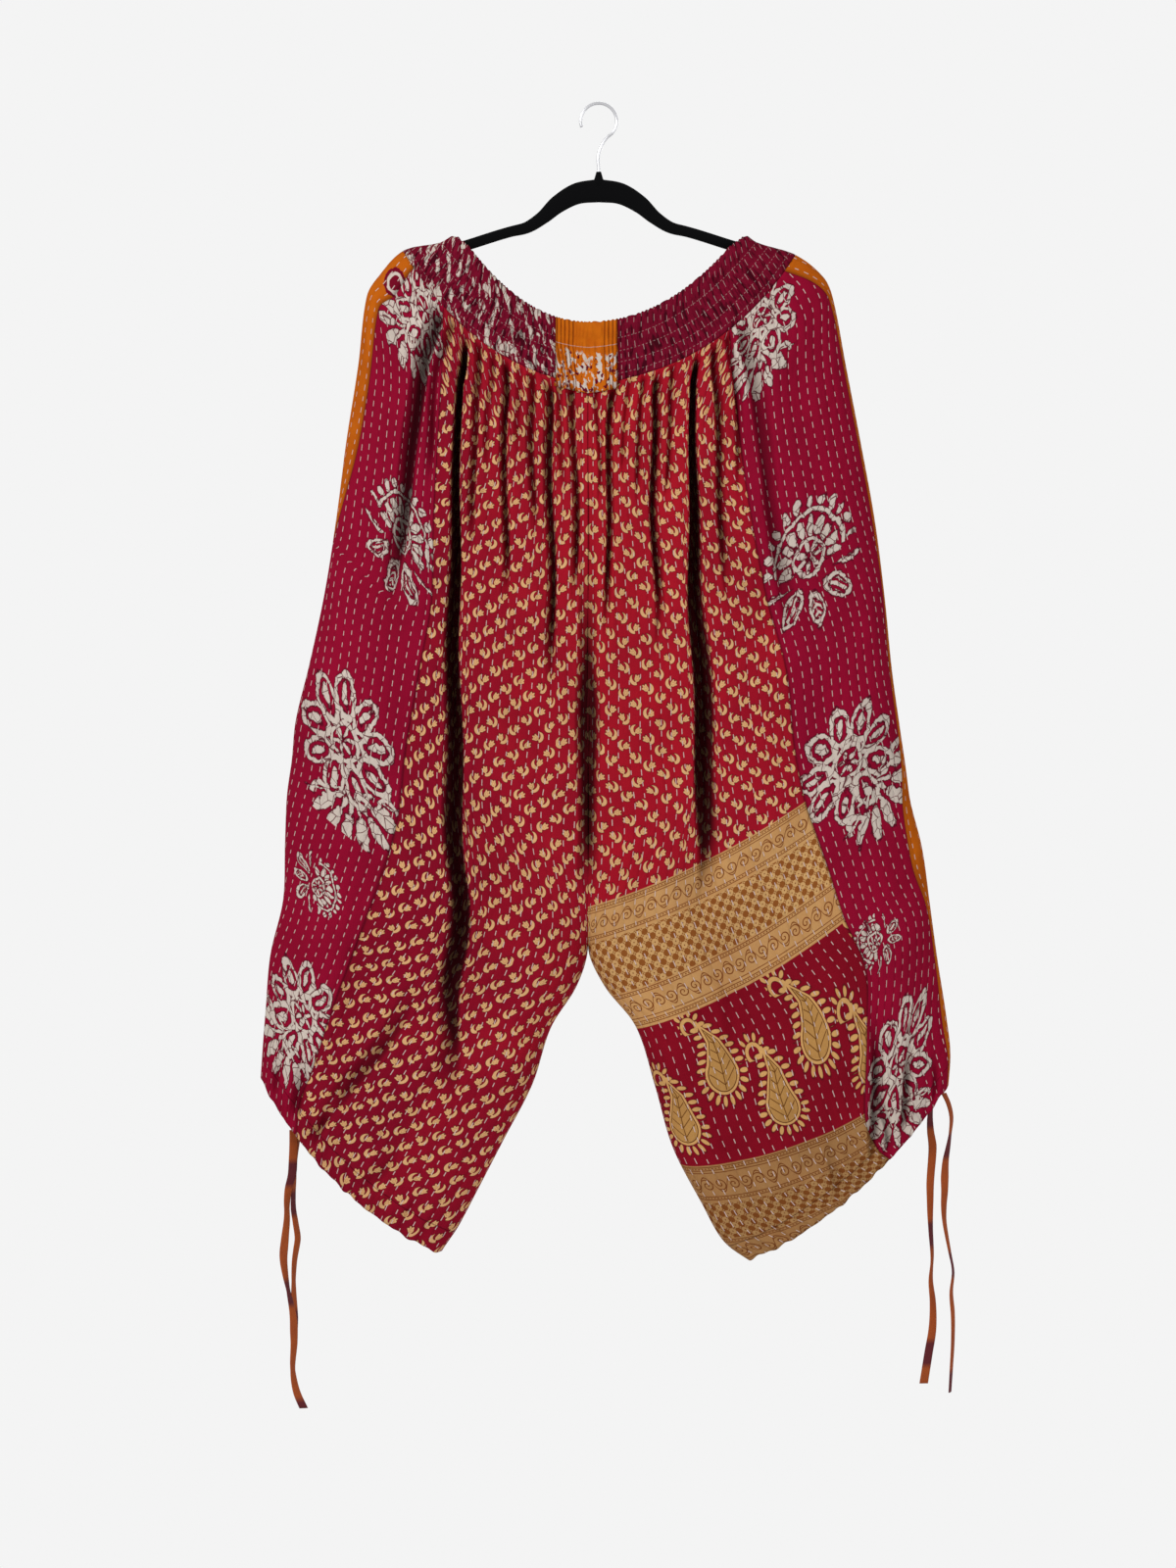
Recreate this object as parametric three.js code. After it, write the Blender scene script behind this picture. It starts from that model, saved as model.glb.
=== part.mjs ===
// Low-crotch capri joggers hanging by their elastic waist from a slim flocked clothes hanger.
// Millimetres, +Z up, front towards -Y, left and right as a viewer facing the front sees them.
// The origin is where a rail carries the hanger's hook.
import * as THREE from 'three';

// ---- cloth ----
const WALL = 1.5;                // quilted cloth, two or three layers
const BAND_WALL = 2.5;           // waistband with its elastic casing
const SEAM_GAP = 0.3;            // between two pieces sewn together
const BAND_DEEP = 62;            // waist edge down to the band seam, along the cloth
const PATCH_LEFT = -44;          // centre front patch, its two sides
const PATCH_RIGHT = 19;
const STRIP_BACK = 46;           // how far the side strips reach round to the back
const OUTER_ROUND = 0.3;         // share of a row that bends round into the side fold
const INNER_ROUND = 0.18;        // share of a row that bends round into the inseam
const OUTER_SPAN = 0.402;        // share of the columns spent on the side fold
const INNER_SPAN = 0.26;         // share of the columns spent on the inseam
const CROTCH_GRAIN = 622;        // distance down the cloth to the crotch point
const CROTCH_ROUND = 80;         // height over which front and back close into the crotch
const CLOSING_FROM = 480;        // columns start to gather towards the inseam here
const GATHER_HIGH = 4;           // gathers under the band
const GATHER_FADE = 120;

// Rows run across a leg, from the centre line or inseam to the outer side fold. Each row is a bow through
// inner, bow and outer. grain = distance down the cloth, deep = half the thickness of the leg there,
// seam = x of the seam between front and side panel, strip = how far the side strip shows in front.
const COLUMNS = ['grain', 'innerX', 'innerZ', 'bowX', 'bowZ', 'outerX', 'outerZ', 'deep', 'seam', 'strip'];
const LEFT_ROWS = [
  [0, -11, -224, -81, -224, -144, -130, 17, -120, 4],
  [20, -11, -245, -91, -242, -162, -141, 19, -135, 4],
  [62, -11, -290, -131, -272, -201, -150, 22, -158, 12],
  [100, -11, -329, -128, -310, -226, -176, 27, -159, 17],
  [125, -11, -355, -130, -330, -238, -196, 30, -160, 13],
  [200, -11, -432, -131, -402, -247, -268, 35, -164, 13],
  [280, -11, -515, -135, -480, -259, -345, 37, -168, 12],
  [360, -11, -597, -140, -558, -269, -422, 38, -170, 3],
  [440, -11, -680, -146, -637, -281, -499, 38, -183, -4],
  [520, -11, -762, -154, -714, -297, -574, 38, -196, -5],
  [580, -11, -822, -161, -773, -311, -632, 37, -203, -5],
  [622, -11, -863, -165, -814, -315, -672, 36, -211, -5],
  [660, -22, -903, -172, -852, -320, -709, 35, -222, -5],
  [710, -49, -947, -187, -900, -322, -758, 34, -238, -5],
  [770, -68, -1005, -198, -960, -324, -816, 32, -256, -5],
  [830, -97, -1061, -219, -1018, -337, -872, 30, -276, -5],
  [890, -125, -1115, -238, -1072, -342, -930, 26, -293, -5],
  [930, -144, -1151, -256, -1106, -345, -969, 22, -306, -5],
  [960, -161, -1178, -276, -1127, -347, -998, 20, -310, -5],
];
const RIGHT_ROWS = [
  [0, -11, -224, 75, -224, 147, -130, 17, 118, 4],
  [20, -11, -245, 85, -242, 162, -141, 19, 125, 4],
  [62, -11, -290, 130, -274, 202, -154, 22, 133, 12],
  [100, -11, -329, 120, -310, 230, -176, 27, 135, 8],
  [125, -11, -355, 120, -331, 240, -197, 30, 138, 4],
  [200, -11, -432, 121, -402, 254, -269, 35, 145, 3],
  [280, -11, -515, 129, -481, 269, -347, 37, 157, 3],
  [360, -11, -597, 136, -560, 283, -424, 38, 172, 3],
  [440, -11, -680, 141, -640, 293, -501, 38, 191, 2],
  [520, -11, -762, 146, -719, 301, -580, 38, 199, 3],
  [580, -11, -822, 150, -776, 309, -638, 37, 210, 3],
  [622, -11, -863, 154, -817, 315, -679, 36, 222, 5],
  [660, 5, -903, 164, -856, 320, -715, 35, 234, 9],
  [710, 38, -946, 187, -904, 332, -763, 34, 250, 13],
  [770, 58, -1008, 201, -966, 340, -821, 32, 272, 4],
  [830, 76, -1070, 214, -1030, 348, -879, 30, 273, 3],
  [890, 106, -1128, 234, -1090, 357, -937, 26, 271, 5],
  [930, 128, -1166, 250, -1122, 361, -976, 22, 282, 3],
  [960, 154, -1184, 262, -1140, 359, -1005, 20, 297, 2],
];

// Folds are soft troughs down the cloth. from/to = where they start and end along the grain, then their place
// across the row (0 centre, 1 side) at the start, at 40 %, at 75 % and at the end, half width and depth.
const FOLD_COLUMNS = ['from', 'to', 'at0', 'at1', 'at2', 'at3', 'wide', 'deep'];
const LEFT_FRONT_FOLDS = [
  [66, 745, 0.575, 0.523, 0.445, 0.3, 15, 21],
  [66, 330, 0.745, 0.76, 0.77, 0.78, 13, 10],
  [66, 280, 0.33, 0.31, 0.3, 0.3, 10, 7],
  [330, 606, 0, 0, 0, 0, 15, 15],
  [700, 925, 0.47, 0.52, 0.6, 0.67, 14, 8],
];
const RIGHT_FRONT_FOLDS = [
  [66, 600, 0.43, 0.375, 0.37, 0.37, 15, 21],
  [66, 300, 0.66, 0.67, 0.68, 0.68, 12, 9],
  [66, 250, 0.24, 0.22, 0.21, 0.21, 10, 7],
  [330, 606, 0, 0, 0, 0, 15, 15],
  [800, 950, 0.7, 0.66, 0.62, 0.58, 13, 8],
];
const BACK_FOLDS = [
  [66, 560, 0.3, 0.29, 0.28, 0.27, 17, 14],
  [66, 700, 0.62, 0.6, 0.57, 0.55, 19, 16],
  [66, 330, 0.82, 0.81, 0.8, 0.8, 13, 7],
  [640, 930, 0.4, 0.44, 0.48, 0.5, 16, 8],
];

// ---- grids ----
const BAND_GRAIN = [0, 10, 20, 41, 62];
const BAND_PUFF = [0, 2, 0, 1.2, 0];
const LEG_GRAIN = [62, 82, 106, 138, 180, 230, 285, 345, 405, 465, 520, 565, 600, 622, 645, 675, 710, 750,
  795, 840, 885, 925, 960];
const FRONT_ACROSS = 20;
const SIDE_ACROSS = 6;
const STRIP_FRONT = 2;           // columns of a side strip before the side fold and behind it
const STRIP_BEHIND = 3;
const BACK_ACROSS = 13;

// ---- hanger ----
const HANGER_THICK = 6;
const HANGER_EDGE = 1;           // rounding of the flocked edges
const BAR_TOP = -223;
const BAR_LOW = -229;
const HOOK_WIRE = 3.4;
const HOOK_BEND = 18.5;          // radius of the hook at the wire's middle
const HOOK_FOOT = -67.4;         // the wire starts just above the flocked neck

// ---- ties ----
const TIE_WIDE = 9;
const TIE_THICK = 2.4;

const part = new THREE.Group();
part.name = 'capri_joggers';

function material(name, colour, roughness, metalness = 0) {
  const made = new THREE.MeshStandardMaterial({ color: colour, roughness, metalness });
  made.name = name;
  return made;
}

const redFloral = material('red_floral_cotton', 0xa3222e, 0.9);
const magentaBatik = material('magenta_batik_cotton', 0x94163a, 0.88);
const orangeCotton = material('orange_cotton', 0xc4600f, 0.9);
const bandCotton = material('magenta_band_cotton', 0x85142f, 0.9);
const blackFlock = material('black_flock', 0x0a0a0a, 1);
const hookSteel = material('bright_steel', 0xc8c8c8, 0.28, 1);

function add(name, geometry, look) {
  const mesh = new THREE.Mesh(geometry, look);
  mesh.name = name;
  part.add(mesh);
}

const clamp = (value, low, high) => Math.min(high, Math.max(low, value));
const mix = (from, to, share) => from + (to - from) * share;

function smooth(from, to, value) {
  const share = clamp((value - from) / (to - from), 0, 1);
  return share * share * (3 - 2 * share);
}

// A smooth curve through the values of one column, read at a place between its rows.
function through(places, values, at) {
  const last = places.length - 1;
  const place = clamp(at, places[0], places[last]);
  let row = 0;
  while (row < last - 1 && places[row + 1] < place) {
    row += 1;
  }
  const slope = (i) => {
    const before = Math.max(i - 1, 0);
    const after = Math.min(i + 1, last);
    const turns = (values[i] - values[before]) * (values[after] - values[i]) <= 0;
    const slope = (values[after] - values[before]) / (places[after] - places[before]);
    return turns && before < i && i < after ? 0 : slope;
  };
  const step = places[row + 1] - places[row];
  const share = (place - places[row]) / step;
  const square = share * share;
  const cube = square * share;
  return (2 * cube - 3 * square + 1) * values[row] + (cube - 2 * square + share) * step * slope(row)
    + (3 * square - 2 * cube) * values[row + 1] + (cube - square) * step * slope(row + 1);
}

function columnsOf(rows) {
  const table = {};
  COLUMNS.forEach((name, i) => {
    table[name] = rows.map((row) => row[i]);
  });
  return table;
}

function foldsOf(rows) {
  return rows.map((row) => Object.fromEntries(FOLD_COLUMNS.map((name, i) => [name, row[i]])));
}

const LEFT = {
  rows: columnsOf(LEFT_ROWS),
  front: foldsOf(LEFT_FRONT_FOLDS),
  back: foldsOf(BACK_FOLDS),
  out: -1,
};
const RIGHT = {
  rows: columnsOf(RIGHT_ROWS),
  front: foldsOf(RIGHT_FRONT_FOLDS),
  back: foldsOf(BACK_FOLDS),
  out: 1,
};

const read = (leg, name, grain) => through(leg.rows.grain, leg.rows[name], grain);

function bow(inner, middle, outer, across) {
  const rest = 1 - across;
  return rest * rest * inner + 2 * across * rest * middle + across * across * outer;
}

// Share of the row reached by a column: evenly where the cloth lies flat, closer together where it bends.
function acrossAt(column, grain) {
  const flat = (1 - OUTER_ROUND) / (1 - OUTER_SPAN);
  if (column > 1 - OUTER_SPAN) {
    const turn = (1 - column) / OUTER_SPAN * Math.PI / 2;
    return 1 - OUTER_ROUND * (1 - Math.cos(turn));
  }
  const open = flat * column;
  const closed = column < INNER_SPAN
    ? INNER_ROUND * (1 - Math.cos(column / INNER_SPAN * Math.PI / 2))
    : mix(INNER_ROUND, 1 - OUTER_ROUND, (column - INNER_SPAN) / (1 - OUTER_SPAN - INNER_SPAN));
  return mix(open, closed, smooth(CLOSING_FROM, CROTCH_GRAIN - 10, grain));
}

function columnFor(across, grain) {
  let low = 0;
  let high = 1;
  for (let i = 0; i < 40; i += 1) {
    const middle = (low + high) / 2;
    if (acrossAt(middle, grain) < across) {
      low = middle;
    } else {
      high = middle;
    }
  }
  return (low + high) / 2;
}

function acrossForX(leg, x, grain) {
  let low = 0;
  let high = 1;
  for (let i = 0; i < 40; i += 1) {
    const middle = (low + high) / 2;
    const [inner, between, outer] = ['innerX', 'bowX', 'outerX'].map((name) => read(leg, name, grain));
    const here = bow(inner, between, outer, middle);
    if (leg.out * (x - here) > 0) {
      low = middle;
    } else {
      high = middle;
    }
  }
  return (low + high) / 2;
}

// 1 where front and back stand fully apart, 0 where they meet.
function roundness(across, grain, leg) {
  const outer = clamp((1 - across) / OUTER_ROUND, 0, 1);
  const inner = clamp(across / INNER_ROUND, 0, 1);
  const rise = read(leg, 'innerZ', grain) - read(leg, 'innerZ', CROTCH_GRAIN);
  const above = clamp(rise / CROTCH_ROUND, 0, 1);
  const open = grain < CROTCH_GRAIN ? 1 - (1 - above) ** 2 : 0;
  const innerSquare = open + (1 - open) * (1 - (1 - inner) ** 2);
  return Math.sqrt(innerSquare * (1 - (1 - outer) ** 2));
}

function foldDepth(folds, across, grain, width) {
  let deepest = 0;
  folds.forEach((fold) => {
    if (grain > fold.from && grain < fold.to) {
      const along = (grain - fold.from) / (fold.to - fold.from);
      const at = through([0, 0.4, 0.75, 1], [fold.at0, fold.at1, fold.at2, fold.at3], along);
      const off = Math.abs(across - at) * width / fold.wide;
      const strength = smooth(0, 0.12, along) * (1 - smooth(0.72, 1, along));
      if (off < 1) {
        deepest += fold.deep * strength * (0.5 + 0.5 * Math.cos(Math.PI * off));
      }
    }
  });
  return deepest;
}

// A point of the outer face. column runs 0..1 over the front and 1..2 round to the back.
function facePoint(leg, column, grain, gather) {
  const front = column <= 1;
  const across = acrossAt(front ? column : 2 - column, grain);
  const innerX = read(leg, 'innerX', grain);
  const outerX = read(leg, 'outerX', grain);
  const x = bow(innerX, read(leg, 'bowX', grain), outerX, across);
  const z = bow(read(leg, 'innerZ', grain), read(leg, 'bowZ', grain), read(leg, 'outerZ', grain), across);
  const round = roundness(across, grain, leg);
  const fold = foldDepth(front ? leg.front : leg.back, across, grain, Math.abs(outerX - innerX));
  const deep = (read(leg, 'deep', grain) - fold + gather) * round;
  return new THREE.Vector3(x, front ? -deep : deep, z);
}

// One piece of cloth as a closed solid. Its columns are listed from the left to the right of the front, or from
// right to left over the back, so that the outer face looks outwards. Each column is {leg, at(grain)}.
function clothSolid(columns, grains, wall, lift) {
  const wide = columns.length;
  const tall = grains.length;
  const faces = [];
  const point = (i, j) => facePoint(columns[i].leg, columns[i].at(grains[j]), grains[j], lift(i, j));
  const grid = columns.map((column, i) => grains.map((grain, j) => point(i, j)));
  const normals = grid.map((line, i) => line.map((unused, j) => outwardAt(columns[i], grains[j])));
  const inset = grid.map((line, i) => line.map((at, j) => {
    const moved = at.clone();
    const half = SEAM_GAP / 2;
    if (i === 0 || i === wide - 1) {
      const inwards = grid[i === 0 ? 1 : wide - 2][j].clone().sub(at).normalize();
      moved.addScaledVector(edgeWay(columns[i], grains[j], inwards), half);
    }
    if (j === 0 || j === tall - 1) {
      moved.addScaledVector(line[j === 0 ? 1 : tall - 2].clone().sub(at).normalize(), half);
    }
    return moved;
  }));
  const positions = [];
  const outer = inset.map((line) => line.map((at) => positions.push(at.x, at.y, at.z) / 3 - 1));
  const inner = inset.map((line, i) => line.map((at, j) => {
    const sunk = at.clone().addScaledVector(normals[i][j], -wall);
    return positions.push(sunk.x, sunk.y, sunk.z) / 3 - 1;
  }));
  const quad = (a, b, c, d) => faces.push(a, b, c, a, c, d);
  for (let i = 0; i < wide - 1; i += 1) {
    for (let j = 0; j < tall - 1; j += 1) {
      quad(outer[i][j], outer[i][j + 1], outer[i + 1][j + 1], outer[i + 1][j]);
      quad(inner[i][j], inner[i + 1][j], inner[i + 1][j + 1], inner[i][j + 1]);
    }
  }
  for (let i = 0; i < wide - 1; i += 1) {
    quad(outer[i][0], outer[i + 1][0], inner[i + 1][0], inner[i][0]);
    quad(outer[i][tall - 1], inner[i][tall - 1], inner[i + 1][tall - 1], outer[i + 1][tall - 1]);
  }
  for (let j = 0; j < tall - 1; j += 1) {
    quad(outer[0][j], inner[0][j], inner[0][j + 1], outer[0][j + 1]);
    quad(outer[wide - 1][j], outer[wide - 1][j + 1], inner[wide - 1][j + 1], inner[wide - 1][j]);
  }
  const geometry = new THREE.BufferGeometry();
  geometry.setAttribute('position', new THREE.Float32BufferAttribute(positions, 3));
  geometry.setIndex(faces);
  return geometry;
}

const onSideFold = (column) => Math.abs(column - 1) < 1e-6;

// The direction out of the cloth, read from the smooth surface, so that two pieces sewn together have parallel
// edges. On the centre line it stands square to the seam, at the side fold and inseam it points straight out.
function outwardAt(column, grain) {
  const at = column.at(grain);
  const near = (change, drop) => (
    facePoint(column.leg, clamp(at + change, 0, 2), clamp(grain + drop, 0, 960), 0));
  const alongRow = near(0.02, 0).sub(near(-0.02, 0));
  const downCloth = near(0, 4).sub(near(0, -4));
  const outward = downCloth.cross(alongRow).multiplyScalar(column.leg.out);
  if (onSideFold(at) || ((at === 0 || at === 2) && grain >= CROTCH_GRAIN)) {
    outward.y = 0;
  } else if (at === 0 || at === 2) {
    outward.x = 0;
  }
  return outward.normalize();
}

function edgeWay(column, grain, inwards) {
  const at = column.at(grain);
  const way = inwards.clone();
  if (onSideFold(at) || ((at === 0 || at === 2) && grain >= CROTCH_GRAIN)) {
    way.set(0, Math.sign(inwards.y), 0);
  } else if (at === 0 || at === 2) {
    way.set(Math.sign(inwards.x), 0, 0);
  }
  return way.normalize();
}

// ---- where the pieces end, as columns ----
const seamColumn = (leg, grain) => columnFor(acrossForX(leg, read(leg, 'seam', grain), grain), grain);

function stripColumn(leg, grain) {
  const shows = read(leg, 'strip', grain);
  const edge = read(leg, 'outerX', grain) - leg.out * Math.abs(shows);
  const column = columnFor(acrossForX(leg, edge, grain), grain);
  return shows > 0 ? column : 2 - column;
}

function stripBackColumn(leg, grain) {
  const edge = read(leg, 'outerX', grain) - leg.out * STRIP_BACK;
  return 2 - columnFor(acrossForX(leg, edge, grain), grain);
}

function spread(leg, from, to, count) {
  return Array.from({ length: count + 1 }, (unused, i) => ({
    leg,
    at: (grain) => mix(from(grain), to(grain), i / count),
  }));
}

// A side strip's columns. One of them lies on the side fold at the waistband, whose pieces share these columns.
function stripShares(leg) {
  const from = stripColumn(leg, BAND_DEEP);
  const to = stripBackColumn(leg, BAND_DEEP);
  const fold = (1 - from) / (to - from);
  const shares = [];
  for (let i = 0; i <= STRIP_FRONT + STRIP_BEHIND; i += 1) {
    shares.push(i <= STRIP_FRONT ? fold * i / STRIP_FRONT : mix(fold, 1, (i - STRIP_FRONT) / STRIP_BEHIND));
  }
  return shares;
}

const stripColumns = (leg) => stripShares(leg).map((share) => ({
  leg,
  at: (grain) => mix(stripColumn(leg, grain), stripBackColumn(leg, grain), share),
}));

const bandOverStrip = (leg) => stripShares(leg).map((share) => ({
  leg,
  at: () => mix(stripColumn(leg, BAND_DEEP), stripBackColumn(leg, BAND_DEEP), share),
}));

const facing = (leg, columns) => (leg.out > 0 ? columns : columns.slice().reverse());

// ---- waistband ----
const centre = () => 0;
const centreBack = () => 2;
const patchColumn = (leg, x) => (grain) => columnFor(acrossForX(leg, x, grain), grain);
const bandPuff = (i, j) => BAND_PUFF[j] + (i % 2 ? 0.8 : 0) * (j > 0 && j < 4 ? 1 : 0);

function bandFront(leg, patchX) {
  const toStrip = spread(leg, patchColumn(leg, patchX), () => stripColumn(leg, BAND_DEEP), 9);
  return facing(leg, toStrip.concat(bandOverStrip(leg).slice(1, STRIP_FRONT + 1)));
}

function bandBehind(leg) {
  const toCentre = spread(leg, () => stripBackColumn(leg, BAND_DEEP), centreBack, 8);
  return bandOverStrip(leg).slice(STRIP_FRONT).concat(toCentre.slice(1));
}

const patchHalfLeft = facing(LEFT, spread(LEFT, centre, patchColumn(LEFT, PATCH_LEFT), 3));
const patchHalfRight = spread(RIGHT, centre, patchColumn(RIGHT, PATCH_RIGHT), 3);
const backAcross = bandBehind(RIGHT).concat(bandBehind(LEFT).reverse().slice(1));

const evenPuff = (i, j) => BAND_PUFF[j];
add('waistband_front_left',
  clothSolid(bandFront(LEFT, PATCH_LEFT), BAND_GRAIN, BAND_WALL, bandPuff), bandCotton);
add('waistband_front_patch', clothSolid(patchHalfLeft.concat(patchHalfRight.slice(1)), BAND_GRAIN,
  BAND_WALL, evenPuff), orangeCotton);
add('waistband_front_right',
  clothSolid(bandFront(RIGHT, PATCH_RIGHT), BAND_GRAIN, BAND_WALL, bandPuff), bandCotton);
add('waistband_back', clothSolid(backAcross, BAND_GRAIN,
  BAND_WALL, bandPuff), bandCotton);

// ---- legs ----
function gather(high, count) {
  return (i, j) => {
    const below = LEG_GRAIN[j] - BAND_DEEP;
    const way = i % 2 ? -1 : 1;
    const strength = (1 - Math.exp(-below / 14)) * Math.exp(-below / GATHER_FADE);
    return (i === 0 || i === count ? 0 : way) * high * strength;
  };
}

[['left', LEFT], ['right', RIGHT]].forEach(([name, leg]) => {
  const seam = (grain) => seamColumn(leg, grain);
  const strip = (grain) => stripColumn(leg, grain);
  const stripBack = (grain) => stripBackColumn(leg, grain);
  add(`${name}_front_panel`, clothSolid(facing(leg, spread(leg, centre, seam, FRONT_ACROSS)), LEG_GRAIN,
    WALL, gather(GATHER_HIGH, FRONT_ACROSS)), redFloral);
  add(`${name}_side_panel`, clothSolid(facing(leg, spread(leg, seam, strip, SIDE_ACROSS)), LEG_GRAIN,
    WALL, gather(GATHER_HIGH / 2, SIDE_ACROSS)), magentaBatik);
  add(`${name}_side_strip`, clothSolid(facing(leg, stripColumns(leg)), LEG_GRAIN,
    WALL, () => 0), orangeCotton);
  add(`${name}_back_panel`, clothSolid(facing(leg, spread(leg, stripBack, centreBack, BACK_ACROSS)), LEG_GRAIN,
    WALL, gather(GATHER_HIGH, BACK_ACROSS)), magentaBatik);
});

// ---- hanger: one flocked frame, arch, two arms and the bar ----
function hangerBody() {
  const outline = new THREE.Shape();
  outline.moveTo(0, BAR_LOW);
  outline.lineTo(188, BAR_LOW);
  outline.quadraticCurveTo(214, BAR_LOW, 214, -203);
  outline.lineTo(214, -184);
  outline.quadraticCurveTo(214, -164, 194, -157);
  outline.lineTo(148, -141.2);
  outline.lineTo(132, -137);
  outline.lineTo(84, -122);
  outline.quadraticCurveTo(76, -119, 70, -113);
  outline.quadraticCurveTo(42, -76, 5, -76);
  outline.lineTo(2.6, -68);
  outline.lineTo(-2.6, -68);
  outline.lineTo(-5, -76);
  outline.quadraticCurveTo(-42, -76, -70, -113);
  outline.quadraticCurveTo(-76, -119, -84, -122);
  outline.lineTo(-132, -137);
  outline.lineTo(-148, -141.2);
  outline.lineTo(-194, -157);
  outline.quadraticCurveTo(-214, -164, -214, -184);
  outline.lineTo(-214, -203);
  outline.quadraticCurveTo(-214, BAR_LOW, -188, BAR_LOW);
  outline.closePath();
  const opening = new THREE.Path();
  opening.moveTo(0, BAR_TOP);
  opening.lineTo(-186, BAR_TOP);
  opening.quadraticCurveTo(-207, BAR_TOP, -207, -203);
  opening.lineTo(-207, -190);
  opening.quadraticCurveTo(-206, -175, -192, -170);
  opening.lineTo(-128, -149);
  opening.lineTo(-72, -133);
  opening.quadraticCurveTo(-64, -131, -58, -124);
  opening.quadraticCurveTo(-34, -100, 0, -100);
  opening.quadraticCurveTo(34, -100, 58, -124);
  opening.quadraticCurveTo(64, -131, 72, -133);
  opening.lineTo(128, -149);
  opening.lineTo(192, -170);
  opening.quadraticCurveTo(206, -175, 207, -190);
  opening.lineTo(207, -203);
  opening.quadraticCurveTo(207, BAR_TOP, 186, BAR_TOP);
  opening.closePath();
  outline.holes.push(opening);
  const geometry = new THREE.ExtrudeGeometry(outline, {
    depth: HANGER_THICK - 2 * HANGER_EDGE,
    bevelEnabled: true,
    bevelThickness: HANGER_EDGE,
    bevelSize: HANGER_EDGE,
    bevelOffset: -HANGER_EDGE,
    bevelSegments: 1,
    curveSegments: 8,
  });
  geometry.rotateX(Math.PI / 2);
  geometry.translate(0, HANGER_THICK / 2 - HANGER_EDGE, 0);
  return geometry;
}

function roundSection(wide, thick, sides) {
  const section = new THREE.Shape();
  for (let i = 0; i < sides; i += 1) {
    const turn = (i + 0.5) / sides * 2 * Math.PI;
    const x = wide / 2 * Math.cos(turn);
    const y = thick / 2 * Math.sin(turn);
    if (i === 0) {
      section.moveTo(x, y);
    } else {
      section.lineTo(x, y);
    }
  }
  section.closePath();
  return section;
}

function alongPath(points, section, steps) {
  const stops = points.map(([x, y, z]) => new THREE.Vector3(x, y, z));
  const route = new THREE.CatmullRomCurve3(stops, false, 'centripetal');
  return new THREE.ExtrudeGeometry(section, { steps, extrudePath: route, bevelEnabled: false });
}

// The hook leaves the neck, swings out to one side, passes over the rail and ends past the other side.
const hookMiddle = HOOK_WIRE / 2 - HOOK_BEND;
const hookRoute = [[0, 0, HOOK_FOOT], [0, 0, hookMiddle - 33]];
for (let degrees = -60; degrees <= 200; degrees += 20) {
  const turn = degrees * Math.PI / 180;
  hookRoute.push([HOOK_BEND * Math.cos(turn), 0, hookMiddle + HOOK_BEND * Math.sin(turn)]);
}

add('hanger_body', hangerBody(), blackFlock);
add('hanger_hook', alongPath(hookRoute, roundSection(HOOK_WIRE, HOOK_WIRE, 8), 40), hookSteel);

// ---- drawstring ends hanging from the cuffs ----
const LEFT_TIE_FRONT = [
  [-314, 10.4, -1053], [-314, 10.4, -1069], [-314.5, 9.6, -1084], [-315.5, 8.8, -1099],
  [-319, 7.2, -1113], [-320.5, 6.4, -1128], [-320.5, 6, -1143], [-322.5, 6, -1164],
  [-324, 6, -1185], [-322, 5.6, -1202], [-318.5, 5, -1220], [-314.5, 4.2, -1240],
  [-313, 4, -1268], [-314, 3, -1302], [-310, 2.5, -1322], [-303, 2, -1338],
];
const LEFT_TIE_BACK = [
  [-309, 16.4, -1058], [-310.5, 16.2, -1069], [-312, 16, -1080], [-313, 15.4, -1092],
  [-313.5, 15, -1104], [-314.5, 14.6, -1119], [-314.5, 14, -1134], [-312, 13.4, -1150],
  [-310, 13, -1166], [-311.5, 13, -1176], [-313, 12.8, -1186], [-314, 12.4, -1202],
  [-314, 12, -1219], [-313, 11, -1250], [-313.5, 10.5, -1268], [-314, 10, -1285],
];
const RIGHT_TIE_INNER = [
  [342, 11, -1028.6], [341, 10.4, -1040], [341.5, 10, -1054], [343.5, 9.6, -1069],
  [343, 9.2, -1082], [341.8, 9, -1096], [341, 9, -1110], [341, 8.8, -1124],
  [341, 8.4, -1140], [341.5, 8, -1156], [343, 8, -1184], [341.5, 7.4, -1208],
  [343.5, 7, -1229], [343, 6.4, -1258], [339, 5.6, -1282], [334, 5, -1313],
];
const RIGHT_TIE_OUTER = [
  [355, 10, -1015], [360, 10, -1026], [363, 10, -1040], [362, 9.6, -1054], [359.5, 9, -1070],
  [357, 9, -1084], [356, 8.8, -1100], [355.8, 8.2, -1116], [355, 8, -1130], [355.5, 8, -1146],
  [358, 8, -1162], [361, 8, -1178], [364.5, 7.4, -1198], [362.5, 6.8, -1220], [364, 6, -1241],
  [364, 6, -1271], [362.5, 5.4, -1297], [361, 5, -1322],
];
[['left_tie_front', LEFT_TIE_FRONT], ['left_tie_back', LEFT_TIE_BACK],
  ['right_tie_inner', RIGHT_TIE_INNER], ['right_tie_outer', RIGHT_TIE_OUTER]].forEach(([name, route]) => {
  add(name, alongPath(route, roundSection(TIE_THICK, TIE_WIDE, 8), 16), orangeCotton);
});

export default part;
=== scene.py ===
# %% [markdown]
# # Patchwork capri joggers on a clothes hanger
# The joggers are cut from old quilted saris: a front panel and a side panel for each leg, an orange strip
# down the outseam, a plain back panel, and an elastic waistband shirred with rows of thread. Running
# stitch holds the layers together all over. They hang from a slim flocked hanger that runs inside the
# waist, so front and back lie close together and the gathers fall as long troughs.
#
# Every panel is part of one surface for its leg, worked out from a table of rows. A row crosses the leg
# from the centre line or inseam to the side fold, as a bow between three points. Lengths in the tables
# are in millimetres, and the finished pieces are in metres.

import math

import bmesh
import bpy
import numpy as np
from mathutils import Matrix


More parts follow.
